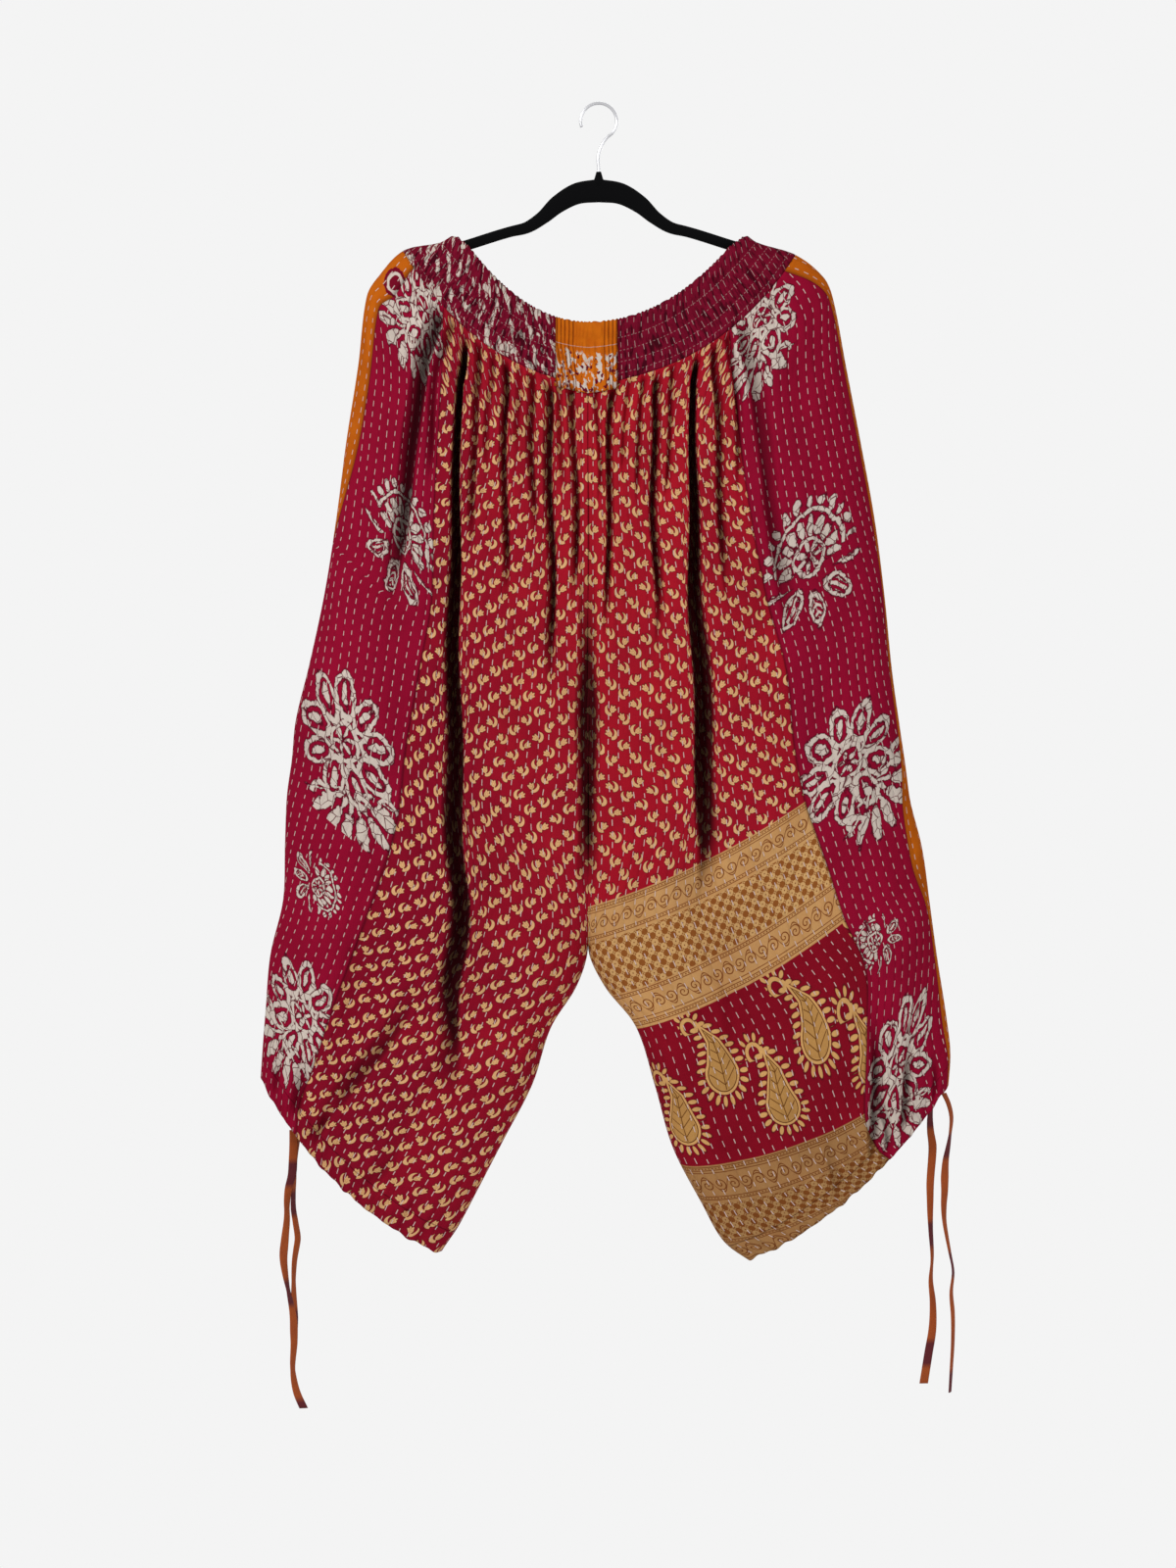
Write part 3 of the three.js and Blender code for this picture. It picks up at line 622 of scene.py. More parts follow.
def band_cloth(name, batiked):
    """The waistband: fine rows of shirring thread along it, over crumpled batik on the left."""
    kit = Kit(name)
    u, v = kit.cloth()
    colour = kit.mix(linear("#8A1030"), linear("#6A0A22"), kit.noise(u, v, 12.0))
    if batiked:
        blot = kit.noise(u * 1.7 + v * 0.9, v * 0.8 - u * 0.35, 15.0, 2.5)
        cracks = kit.crackle(u, v, 8.0) - 0.3
        colour = kit.mix(colour, CREAM, kit.inside(kit.most((0.56 - blot) * 42.0, 0.0 - cracks), 0.5))
    groove = kit.noise(u * 3.2, v * 0.7 + kit.noise(u, v, 20.0) * 12.0, 13.0, 2.0)
    # Painted shade in the grooves between the shirred puckers.
    colour = kit.mix(colour, linear("#1E030A"), ((0.49 - groove) * 8.0).clamped() * 0.75)
    rows = kit.least(*[outlined(kit, v - at, 0.3) for at in SHIRRING])
    step = kit.math("FRACT", u / 4.4 + kit.hash(kit.math("ROUND", v / 11.0)))
    thread = kit.inside(kit.most(rows, outlined(kit, step - 0.5, 0.24) * 4.4), 0.3) * 0.32
    sewn = stitches(kit, u * 1.3, v)[0] * 0.55
    return finish_cloth(kit, colour, u, v, kit.most(thread, sewn), groove * 3.4, crumple=1.3)


def patch_cloth(name):
    """Orange with a low band of cream and maroon spots, and narrow tucks at both sides."""
    kit = Kit(name)
    u, v = kit.cloth()
    colour = kit.mix(linear("#E67E14"), linear("#C0560C"), kit.noise(u, v, 14.0))
    low = kit.inside(32.0 - v + (kit.noise(u, 0.0, 9.0) - 0.5) * 26.0, 3.0)
    pale = kit.inside((0.52 - kit.noise(u * 1.4, v, 8.5, 2.0, 3.0)) * 30.0, 0.7)
    dark = kit.inside((0.6 - kit.noise(u * 1.3, v, 7.0, 2.0, 9.0)) * 26.0, 0.7)
    colour = kit.mix(colour, CREAM, pale * low)
    colour = kit.mix(colour, linear("#6A0A22"), dark * low)
    middle = kit.math("ABSOLUTE", u - 33.0)
    tuck = kit.inside(kit.most(outlined(kit, kit.cell(middle, 4.6)[1], 0.5), 16.5 - middle), 1.2)
    # Painted shade in the creases of the tucks.
    colour = kit.mix(colour, linear("#7A2A08"), tuck * 0.85)
    thread = kit.inside(outlined(kit, v - 26.0, 0.3), 0.3) * 0.6
    return finish_cloth(kit, colour, u, v, thread, 1.0 - tuck)


def plain(name, colour, roughness, metallic=0.0, fuzz=0.0):
    """One even finish. fuzz is the faint halo of flock."""
    kit = Kit(name)
    kit.shader.inputs["Base Color"].default_value = linear(colour)
    kit.shader.inputs["Roughness"].default_value = roughness
    kit.shader.inputs["Metallic"].default_value = metallic
    if fuzz:
        kit.shader.inputs["Specular IOR Level"].default_value = 0.05
        kit.shader.inputs["Sheen Weight"].default_value = fuzz
    return kit.material


# %% [markdown]
# ## The shape of a leg
# Cloth like this could be dropped by a cloth simulation, but then its outline would be left to chance.
# Here each row's three points are listed, with half the thickness of the leg there, the seam
# between front and side panel, and how far the side strip shows in front. Between two rows the values
# follow a smooth curve.

# %% The rows of a leg
COLUMNS = ("grain", "inner_x", "inner_z", "bow_x", "bow_z", "outer_x", "outer_z", "deep", "seam", "strip")
LEFT_ROWS = [
    (0, -11, -224, -81, -224, -144, -130, 17, -120, 4),
    (20, -11, -245, -91, -242, -162, -141, 19, -135, 4),
    (62, -11, -290, -131, -272, -201, -150, 22, -158, 12),
    (100, -11, -329, -128, -310, -226, -176, 27, -159, 17),
    (125, -11, -355, -130, -330, -238, -196, 30, -160, 13),
    (200, -11, -432, -131, -402, -247, -268, 35, -164, 13),
    (280, -11, -515, -135, -480, -259, -345, 37, -168, 12),
    (360, -11, -597, -140, -558, -269, -422, 38, -170, 3),
    (440, -11, -680, -146, -637, -281, -499, 38, -183, -4),
    (520, -11, -762, -154, -714, -297, -574, 38, -196, -5),
    (580, -11, -822, -161, -773, -311, -632, 37, -203, -5),
    (622, -11, -863, -165, -814, -315, -672, 36, -211, -5),
    (660, -22, -903, -172, -852, -320, -709, 35, -222, -5),
    (710, -49, -947, -187, -900, -322, -758, 34, -238, -5),
    (770, -68, -1005, -198, -960, -324, -816, 32, -256, -5),
    (830, -97, -1061, -219, -1018, -337, -872, 30, -276, -5),
    (890, -125, -1115, -238, -1072, -342, -930, 26, -293, -5),
    (930, -144, -1151, -256, -1106, -345, -969, 22, -306, -5),
    (960, -161, -1178, -276, -1127, -347, -998, 20, -310, -5),
]
RIGHT_ROWS = [
    (0, -11, -224, 75, -224, 147, -130, 17, 118, 4),
    (20, -11, -245, 85, -242, 162, -141, 19, 125, 4),
    (62, -11, -290, 130, -274, 202, -154, 22, 133, 12),
    (100, -11, -329, 120, -310, 230, -176, 27, 135, 8),
    (125, -11, -355, 120, -331, 240, -197, 30, 138, 4),
    (200, -11, -432, 121, -402, 254, -269, 35, 145, 3),
    (280, -11, -515, 129, -481, 269, -347, 37, 157, 3),
    (360, -11, -597, 136, -560, 283, -424, 38, 172, 3),
    (440, -11, -680, 141, -640, 293, -501, 38, 191, 2),
    (520, -11, -762, 146, -719, 301, -580, 38, 199, 3),
    (580, -11, -822, 150, -776, 309, -638, 37, 210, 3),
    (622, -11, -863, 154, -817, 315, -679, 36, 222, 5),
    (660, 5, -903, 164, -856, 320, -715, 35, 234, 9),
    (710, 38, -946, 187, -904, 332, -763, 34, 250, 13),
    (770, 58, -1008, 201, -966, 340, -821, 32, 272, 4),
    (830, 76, -1070, 214, -1030, 348, -879, 30, 273, 3),
    (890, 106, -1128, 234, -1090, 357, -937, 26, 271, 5),
    (930, 128, -1166, 250, -1122, 361, -976, 22, 282, 3),
    (960, 154, -1184, 262, -1140, 359, -1005, 20, 297, 2),
]

# %% [markdown]
# ## Folds
# Troughs are listed with their start and end down the cloth, their place across the row at four stations,
# half width and depth. The first in each front is a deep pleat that runs from the band to the knee or
# beyond. The rest are gathers of uneven length under the band, a dip along the centre seam, soft swells
# down the leg, and slack creases above the cuffs.

# %% Folds
FOLDS = ("start", "end", "at0", "at1", "at2", "at3", "wide", "deep")
LEFT_FRONT = [
    (62, 870, 0.575, 0.51, 0.385, 0.2, 13, 27),
    (62, 420, 0.712, 0.73, 0.75, 0.765, 10, 13),
    (62, 300, 0.5, 0.485, 0.475, 0.47, 5, 9),
    (63, 205, 0.44, 0.43, 0.425, 0.42, 4, 6),
    (62, 330, 0.375, 0.35, 0.335, 0.33, 5, 11),
    (63, 160, 0.31, 0.3, 0.295, 0.29, 4, 5),
    (62, 240, 0.25, 0.235, 0.225, 0.22, 5, 9),
    (62, 400, 0.17, 0.15, 0.14, 0.13, 6, 12),
    (63, 180, 0.115, 0.11, 0.105, 0.1, 4, 6),
    (62, 300, 0.06, 0.05, 0.045, 0.04, 5, 10),
    (63, 260, 0.655, 0.66, 0.665, 0.67, 5, 8),
    (66, 470, 0.83, 0.84, 0.85, 0.86, 20, 4),
    (66, 330, 0.92, 0.92, 0.925, 0.93, 14, 3),
    (170, 612, 0, 0, 0, 0, 9, 15),
    (460, 900, 0.72, 0.7, 0.68, 0.66, 24, 6),
    (600, 930, 0.2, 0.26, 0.34, 0.42, 24, 5),
    (690, 940, 0.45, 0.52, 0.61, 0.68, 9, 9),
    (860, 959, 0.34, 0.37, 0.4, 0.42, 9, 5),
    (875, 959, 0.8, 0.8, 0.79, 0.78, 7, 8),
    (895, 959, 0.66, 0.665, 0.67, 0.67, 5, 8),
    (905, 959, 0.9, 0.9, 0.9, 0.9, 5, 6),
]
RIGHT_FRONT = [
    (62, 650, 0.43, 0.375, 0.37, 0.35, 13, 27),
    (62, 440, 0.648, 0.66, 0.67, 0.675, 10, 9),
    (63, 190, 0.03, 0.035, 0.04, 0.04, 4, 6),
    (62, 330, 0.09, 0.075, 0.07, 0.065, 5, 11),
    (62, 170, 0.15, 0.145, 0.14, 0.14, 4, 5),
    (63, 200, 0.2, 0.2, 0.195, 0.19, 4, 7),
    (62, 360, 0.26, 0.25, 0.245, 0.24, 6, 12),
    (62, 215, 0.33, 0.315, 0.31, 0.3, 4, 7),
    (62, 350, 0.52, 0.5, 0.49, 0.485, 6, 10),
    (63, 250, 0.585, 0.58, 0.575, 0.57, 5, 7),
    (66, 430, 0.8, 0.82, 0.84, 0.85, 20, 5),
    (66, 300, 0.91, 0.91, 0.92, 0.92, 14, 3),
    (170, 612, 0, 0, 0, 0, 9, 15),
    (560, 830, 0.37, 0.34, 0.3, 0.27, 18, 7),
    (640, 900, 0.12, 0.14, 0.17, 0.2, 20, 5),
    (790, 958, 0.76, 0.72, 0.66, 0.6, 9, 11),
    (850, 959, 0.86, 0.82, 0.78, 0.75, 7, 10),
    (880, 959, 0.71, 0.7, 0.69, 0.68, 5, 9),
    (900, 959, 0.92, 0.92, 0.92, 0.92, 5, 7),
    (880, 959, 0.5, 0.48, 0.46, 0.45, 8, 5),
]
BACK = [
    (62, 560, 0.3, 0.29, 0.28, 0.27, 13, 15),
    (62, 700, 0.62, 0.6, 0.57, 0.55, 13, 17),
    (62, 330, 0.82, 0.81, 0.8, 0.8, 10, 9),
    (64, 260, 0.08, 0.08, 0.075, 0.07, 5, 7),
    (62, 320, 0.15, 0.145, 0.14, 0.14, 6, 8),
    (64, 220, 0.22, 0.22, 0.215, 0.21, 5, 6),
    (62, 280, 0.39, 0.385, 0.38, 0.375, 6, 8),
    (64, 230, 0.47, 0.46, 0.46, 0.455, 5, 7),
    (62, 300, 0.54, 0.535, 0.53, 0.53, 5, 8),
    (64, 240, 0.72, 0.72, 0.715, 0.71, 6, 8),
    (640, 930, 0.4, 0.44, 0.48, 0.5, 14, 8),
    (820, 957, 0.65, 0.62, 0.6, 0.58, 9, 6),
]


print(len(LEFT_FRONT), "troughs in the left front,", len(RIGHT_FRONT), "in the right")

# %% [markdown]
# ## Curves through a table
# A cubic between every two values, with a slope chosen at each, is the usual way to join them smoothly.
# For a table of rows the slope is 0 wherever the values turn back, so that the curve never swings past
# them.

# %% Curves through a table


def joined(places, values, slopes, at):
    """The curve with those values and slopes, read at any number of places at once."""
    row = np.clip(np.searchsorted(places, at, side="right") - 1, 0, len(places) - 2)
    step = places[row + 1] - places[row]
    t = (at - places[row]) / step
    return (
        (2 * t**3 - 3 * t**2 + 1) * values[row]
        + (t**3 - 2 * t**2 + t) * step * slopes[row]
        + (3 * t**2 - 2 * t**3) * values[row + 1]
        + (t**3 - t**2) * step * slopes[row + 1]
    )


def through(places, values, at):
    """A smooth curve through a column of a table."""
    places, values = np.asarray(places, float), np.asarray(values, float)
    strides = np.diff(values)
    slopes = np.empty_like(values)
    slopes[0] = strides[0] / (places[1] - places[0])
    slopes[-1] = strides[-1] / (places[-1] - places[-2])
    slopes[1:-1] = (values[2:] - values[:-2]) / (places[2:] - places[:-2])
    slopes[1:-1][strides[1:] * strides[:-1] <= 0] = 0
    return joined(places, values, slopes, np.clip(at, places[0], places[-1]))


def smooth(start, end, value):
    """0 before start, 1 after end, and an even ramp between."""
    t = np.clip((value - start) / (end - start), 0, 1)
    return t * t * (3 - 2 * t)


# %% [markdown]
# ## One surface for each leg
# Front and back of a leg are one sheet, bent round at the side fold, and below the crotch at the inseam
# too. A place on it is named by its column and its grain. The sheet stands forward by half the leg's
# thickness, less the depth of the troughs there, and is puckered in the band and at the cuff.

# %% One surface for each leg
OUTER_ROUND, INNER_ROUND = 0.3, 0.18  # shares of a row that bend into the side fold and the inseam
OUTER_SPAN, INNER_SPAN = 0.402, 0.26  # shares of the columns spent on them
CLOSING = (480, CROTCH - 10)
CROTCH_ROUND = 80.0  # height over which the crotch closes
PLEAT_DEEP = 20  # a trough deeper than this is a pleat, narrow at the band
CREASE_WIDE = 13  # a trough wider than this is a soft swell, and gets no painted shade


class Leg:
    """One leg's surface. column runs 0 to 1 over the front, and 1 to 2 round to the back."""

    def __init__(self, rows, folds, out):
        self.rows = {name: [row[i] for row in rows] for i, name in enumerate(COLUMNS)}
        self.front = [dict(zip(FOLDS, row)) for row in folds]
        self.back = [dict(zip(FOLDS, row)) for row in BACK]
        self.out = out

    def read(self, name, grain):
        return through(self.rows["grain"], self.rows[name], grain)

    def bow(self, axis, across, grain):
        ends = [self.read(f"{name}_{axis}", grain) for name in ("inner", "bow", "outer")]
        rest = 1 - across
        return rest**2 * ends[0] + 2 * across * rest * ends[1] + across**2 * ends[2]

    def across(self, column, grain):
        """Share of the row reached by a column: closer together where the cloth bends."""
        flat = (1 - OUTER_ROUND) / (1 - OUTER_SPAN)
        folded = 1 - OUTER_ROUND * (1 - np.cos(np.clip(1 - column, 0, 1) / OUTER_SPAN * np.pi / 2))
        bent = INNER_ROUND * (1 - np.cos(column / INNER_SPAN * np.pi / 2))
        share = (column - INNER_SPAN) / (1 - OUTER_SPAN - INNER_SPAN)
        straight = INNER_ROUND + share * (1 - OUTER_ROUND - INNER_ROUND)
        closed = np.where(column < INNER_SPAN, bent, straight)
        closing = smooth(*CLOSING, grain)
        return np.where(column > 1 - OUTER_SPAN, folded, flat * column * (1 - closing) + closed * closing)

    def solve(self, reached, grain):
        """The share between 0 and 1 at which reached first becomes true."""
        low, high = np.zeros_like(grain), np.ones_like(grain)
        for _ in range(30):
            middle = (low + high) / 2
            short = ~reached(middle)
            low, high = np.where(short, middle, low), np.where(short, high, middle)
        return (low + high) / 2

    def column_at(self, x, grain):
        across = self.solve(lambda s: self.out * (x - self.bow("x", s, grain)) <= 0, grain)
        return self.solve(lambda c: self.across(c, grain) >= across, grain)

    def roundness(self, across, grain):
        """1 where front and back stand fully apart, 0 where they meet."""
        outer = np.clip((1 - across) / OUTER_ROUND, 0, 1)
        inner = np.clip(across / INNER_ROUND, 0, 1)
        above = (self.read("inner_z", grain) - self.read("inner_z", np.array(CROTCH))) / CROTCH_ROUND
        opened = np.where(grain < CROTCH, 1 - (1 - np.clip(above, 0, 1)) ** 2, 0)
        inward = opened + (1 - opened) * (1 - (1 - inner) ** 2)
        return np.sqrt(inward * (1 - (1 - outer) ** 2))

    def troughs(self, folds, across, grain):
        """How deep the cloth lies in its troughs there, and how much painted shade that gives it, from 0 to
        1.
        """
        width = np.abs(self.read("outer_x", grain) - self.read("inner_x", grain))
        total, shade = np.zeros_like(across), np.zeros_like(across)
        for fold in folds:
            along = (grain - fold["start"]) / (fold["end"] - fold["start"])
            stops = [fold[f"at{i}"] for i in range(4)]
            at = through((0, 0.4, 0.75, 1), stops, along)
            at = at + 1.6 / width * np.sin(grain / 29 + fold["start"] + 90 * stops[0])
            near, far = fold["wide"] * 0.45, fold["wide"] * 1.3
            if fold["deep"] > PLEAT_DEEP:
                near, far = (w * (0.35 + 0.65 * smooth(0.05, 0.7, along)) for w in (near, far))
            wide = fold["wide"] > CREASE_WIDE
            if wide:
                near = far = fold["wide"]
            off = np.where(across < at, (at - across) / near, (across - at) / far)
            off = np.minimum(off * width, 1)
            crisp = 0.5 + 0.5 * np.cos(np.pi * off) if wide else 1 - off**2
            opened = 0.5 if fold["start"] > 100 else 0.05
            strength = smooth(0, opened, along) * (1 - smooth(0.7, 1, along)) * (along < 1)
            total += fold["deep"] * strength * crisp
            shade += fold["deep"] * strength * crisp * (not wide)
        return total, np.clip((shade - 1.0) / 11, 0, 1) ** 1.5

    def point(self, column, grain):
        """Place of the outer face in metres, and how much painted shade the troughs give it there, from 0 to
        1.
        """
        behind = column > 1
        across = self.across(np.where(behind, 2 - column, column), grain)
        fullness = self.roundness(across, grain)
        folds_back, dark_back = self.troughs(self.back, across, grain)
        folds_front, dark_front = self.troughs(self.front, across, grain)
        folds = np.where(behind, folds_back, folds_front)
        dark = np.where(behind, dark_back * 0.6, dark_front)
        seed = np.where(behind, 2.1, 0.0) + self.out
        slack = 2.2 * np.sin(across * 19 + grain / 95 + seed) * np.sin(grain / 83 + across * 4 + seed)
        slack += 0.9 * np.sin(across * 43 + grain / 61 + seed * 3) * np.sin(grain / 47 - across * 9)
        slack *= smooth(62, 130, grain)
        cuff = 1.5 * np.sin(across * 62 + np.sin(grain / 9) + seed)
        cuff += 0.7 * np.sin(across * 127 + grain / 14 + seed)
        cuff *= smooth(900, 945, grain)
        hem = np.sin(across * 57 + self.out) + 0.8 * np.sin(across * 97 + self.out)
        hem *= smooth(928, 958, grain) * (0.7 + 0.5 * np.sin(across * 13 + 1))
        pleat = across * 210 + 3 * np.sin(across * 31 + seed) + np.sin(grain / 9 + across * 60)
        pucker = (0.5 + 0.5 * np.sin(pleat)) ** 1.5
        between = np.abs(np.sin(np.clip(grain - 20, 0, 60) / 11.5 * np.pi)) ** 0.7
        tube = np.sin(np.clip(grain, 0, 20) / 20 * np.pi)
        shirred = between * (0.8 + 1.2 * pucker) + 0.7 * pucker
        ruffle = np.where(grain < 20, tube * (2.2 + 1.2 * pucker), shirred)
        deep = self.read("deep", grain) - folds + slack + cuff
        deep = deep * fullness + ruffle * (1 - smooth(BAND_DEEP - 3, BAND_DEEP + 3, grain))
        side = np.where(behind, 1.0, -1.0)
        edge = 1 - smooth(0, 9, grain)
        dip = edge * (1.3 * pucker + 5 * smooth(0.9, 1, across))
        height = self.bow("z", across, grain) - dip - hem
        return np.stack([self.bow("x", across, grain), side * deep, height], -1) * MM, dark


LEFT = Leg(LEFT_ROWS, LEFT_FRONT, -1)
RIGHT = Leg(RIGHT_ROWS, RIGHT_FRONT, 1)
print("the left leg is", LEFT.read("deep", 440.0) * 2, "mm thick at the thigh")

# %% [markdown]
# ## Cutting a panel out of the surface
# A panel starts as a grid from the create_grid operator, whose corners are then moved to their places on
# the leg. Its two side edges are curves of their own down the cloth, and its ends stop half a seam short.
# A Solidify modifier adds the thickness inwards, as quilting does. The print needs the distance along the
# cloth itself, folds and all, so that is measured along each row and kept as the UV map.

# %% The edges of the panels
STRIP_BACK = 46.0  # width of the orange strip behind the side fold


def seam_edge(leg):
    """The seam between front and side panel."""
    return lambda grain: leg.column_at(leg.read("seam", grain), grain)


def strip_edge(leg):
    """The front edge of the orange strip, which is now before the side fold and now behind it."""

    def edge(grain):
        shows = leg.read("strip", grain)
        column = leg.column_at(leg.read("outer_x", grain) - leg.out * np.abs(shows), grain)
        return np.where(shows > 0, column, 2 - column)

    return edge


def back_edge(leg):
    """The seam between the strip and the back panel."""
    inward = leg.out * STRIP_BACK
    return lambda grain: 2 - leg.column_at(leg.read("outer_x", grain) - inward, grain)


def x_edge(leg, x):
    """A straight edge down the cloth at x."""
    return lambda grain: leg.column_at(np.full_like(grain, x), grain)


def fixed(value):
    return lambda grain: np.full_like(grain, float(value))


# %% Measuring along the cloth
EVEN_OVER = 20  # rows


def evened(run, reach):
    """Each column of a grid averaged over that many rows either way, so that the print stays calm where a
    fold starts or ends."""
    padded = np.concatenate([np.repeat(run[:1], reach, 0), run, np.repeat(run[-1:], reach, 0)])
    total = np.concatenate([np.zeros((1, run.shape[1])), np.cumsum(padded, axis=0)])
    return (total[2 * reach + 1 :] - total[: -2 * reach - 1]) / (2 * reach + 1)


def measured_across(spots, share, down, from_right):
    """Distance along each row of the grid, over the folds, from the edge nearer the middle of the garment."""
    order = np.lexsort((share, down.round(9)))
    columns = len(np.unique(share.round(9)))
    rows = spots[order].reshape(-1, columns, 3)
    strides = np.linalg.norm(np.diff(rows, axis=1), axis=2)
    run = np.concatenate([np.zeros((len(rows), 1)), np.cumsum(strides, axis=1)], axis=1)
    if from_right:
        run = run[:, -1:] - run
    found = np.empty(len(share))
    found[order] = evened(run, EVEN_OVER).ravel()
    return found


# %% Cutting one panel


def panel(name, look, pieces, rows, count, wall=WALL, lift=None):
    """A panel over one or more stretches (leg, from edge, to edge), which run from left to right as seen from
    outside. count is (columns, rows), and lift moves a row forwards by so many metres."""
    bm = bmesh.new()
    bmesh.ops.create_grid(bm, x_segments=count[0], y_segments=count[1], size=1)
    mesh = bpy.data.meshes.new(name)
    bm.to_mesh(mesh)
    bm.free()
    flat = np.empty(len(mesh.vertices) * 3)
    mesh.vertices.foreach_get("co", flat)
    flat = flat.reshape(-1, 3)
    share, down = (flat[:, 0] + 1) / 2, (1 - flat[:, 1]) / 2
    inset = SEAM / 2
    grain = rows[0] + inset + down * (rows[1] - rows[0] - 2 * inset)
    spots, painted_shade = np.empty((len(share), 3)), np.empty(len(share))
    for i, (leg, start, end) in enumerate(pieces):
        low, high = i / len(pieces), (i + 1) / len(pieces)
        here = (share >= low - 1e-9) & (share <= high + 1e-9)
        g = grain[here]
        part = (share[here] - low) / (high - low)
        column = start(g) + (end(g) - start(g)) * part
        spots[here], painted_shade[here] = leg.point(column, g)
    if lift:
        spots[:, 1] -= lift(grain)
    mesh.vertices.foreach_set("co", spots.ravel())
    across = measured_across(spots, share, down, pieces[0][0].out < 0)
    cloth = np.stack([across, grain * MM], -1)
    rim = np.minimum(share, 1 - share) * across.max()
    # Painted shade along the side edges of every panel, where it meets the next one at a seam.
    painted_shade = np.maximum(painted_shade, 0.5 * (1 - smooth(0, 2.6 * MM, rim)))
    corner = np.empty(len(mesh.loops), int)
    mesh.loops.foreach_get("vertex_index", corner)
    uv = mesh.uv_layers.new(name="cloth")
    uv.data.foreach_set("uv", cloth[corner].ravel())
    mesh.attributes.new("painted_shade", "FLOAT", "POINT").data.foreach_set("value", painted_shade)
    mesh.polygons.foreach_set("use_smooth", np.ones(len(mesh.polygons), bool))
    mesh.update()
    node = name.replace(" ", "_")
    piece = bpy.data.objects.new(f"cloth_{node}", mesh)
    bpy.context.scene.collection.objects.link(piece)
    mesh.materials.append(look)
    solid = piece.modifiers.new("wall", "SOLIDIFY")
    solid.thickness = wall
    solid.offset = -1
    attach(piece, "root")
    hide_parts(node)
    area = sum(p.area for p in mesh.polygons)
    print(f"{name}: {len(mesh.polygons)} faces, {area:.3f} m2")
    return piece, area


def facing(leg, start, end):
    """A stretch of the front, from left to right."""
    return (leg, start, end) if leg.out > 0 else (leg, end, start)


# %% [markdown]
# ## The twelve panels
# Each half of the front waistband runs from the side fold to the orange patch, which hangs 8 mm over the
# gathers. Below the band every leg has four panels, from the centre line round to the back.

# %% The twelve panels
BAND = (0.0, BAND_DEEP)
BODY = (BAND_DEEP, GRAIN_END)
PATCH = (0.0, BAND_DEEP + 8)
PATCH_LEFT, PATCH_RIGHT = -44.0, 19.0
FLORAL, BATIK, ORANGE = "red_floral_cotton", "magenta_batik_cotton", "orange_cotton"
SHIRRED = "magenta_band_cotton"


def patch_lift(grain):
    """The patch lies over the band, and further out where it hangs over the gathers."""
    return (0.6 + 2.6 * smooth(52, 64, grain)) * MM


left_patch = facing(LEFT, fixed(0), x_edge(LEFT, PATCH_LEFT))
right_patch = facing(RIGHT, fixed(0), x_edge(RIGHT, PATCH_RIGHT))
PLAN = [
    ("waistband front left", SHIRRED, band_cloth("shirred batik cotton", True),
     [facing(LEFT, x_edge(LEFT, PATCH_LEFT), fixed(1))], BAND, (200, 30)),
    ("waistband front right", SHIRRED, band_cloth("shirred cotton", False),
     [facing(RIGHT, x_edge(RIGHT, PATCH_RIGHT), fixed(1))], BAND, (200, 30)),
    ("waistband front patch", ORANGE, patch_cloth("orange patch cotton"),
     [left_patch, right_patch], PATCH, (60, 34)),
    ("waistband back", SHIRRED, band_cloth("shirred back cotton", False),
     [(RIGHT, fixed(1), fixed(2)), (LEFT, fixed(2), fixed(1))], BAND, (240, 30)),
]
for word, leg, motifs in (("left", LEFT, LEFT_MOTIFS), ("right", RIGHT, RIGHT_MOTIFS)):
    PLAN += [
        (f"{word} front panel", FLORAL, red_floral(f"red floral cotton {word}", leg is RIGHT),
         [facing(leg, fixed(0), seam_edge(leg))], BODY, (150, 250)),
        (f"{word} side panel", BATIK, magenta_batik(f"magenta batik cotton {word}", motifs),
         [facing(leg, seam_edge(leg), strip_edge(leg))], BODY, (56, 240)),
        (f"{word} side strip", ORANGE, orange(f"orange strip cotton {word}", leg is LEFT),
         [facing(leg, strip_edge(leg), back_edge(leg))], BODY, (20, 240)),
        (f"{word} back panel", BATIK, magenta_batik(f"plain magenta cotton {word}"),
         [facing(leg, back_edge(leg), fixed(2))], BODY, (80, 220)),
    ]

panels = {}
for name, slot_name, look, stretches, rows, count in PLAN:
    wall = BAND_WALL if "waistband" in name else WALL
    lift = patch_lift if rows is PATCH else None
    panels[name] = panel(name, look, stretches, rows, count, wall, lift) + (rows,)

# %% [markdown]
# ## The cut of what shows
# Each panel was cut as long as its rows, and as wide as its cloth before it was gathered. Its modelled
# area holds the folds but not the fine gathers, so the width is let out by a share that depends on the
# panel.

# %% The cut of what shows
GATHERED = {"waistband": 1.25, "front panel": 1.2, "back panel": 1.15, "side panel": 1.1, "strip": 1.0}
for name, (piece, area, rows) in panels.items():
    length = (rows[1] - rows[0]) * MM
    extra = next(value for key, value in GATHERED.items() if key in name)
    width = area / length * extra
    held = "hung" if "strip" in name else "gathered"
    print(f"{name}: {width:.3f} m wide and {length:.3f} m long when cut")

# %% [markdown]
# ## Sweeping along a route
# The hanger's frame, its wire hook and the drawstring's tapes are all one outline pulled along a line. A
# curve object with a bevel would do it, but not with a width that changes and a twist given as a list, so one
# ring of edges is extruded from centre to centre and laid out anew each time.

# %% Sweeping along a route


def smooth_route(points, count):
    """That many places spread evenly along a smooth curve through the points."""
    route = np.array(points, float)
    at = np.concatenate([[0], np.cumsum(np.linalg.norm(np.diff(route, axis=0), axis=1))])
    spread = np.linspace(0, at[-1], count)
    return np.stack([joined(at, line, np.gradient(line, at), spread) for line in route.T], -1)


def headings(route, looped=False):
    """The unit direction of a route at each of its places."""
    ahead = np.roll(route, -1, 0) - np.roll(route, 1, 0) if looped else np.gradient(route, axis=0)
    return ahead / np.linalg.norm(ahead, axis=1)[:, None]


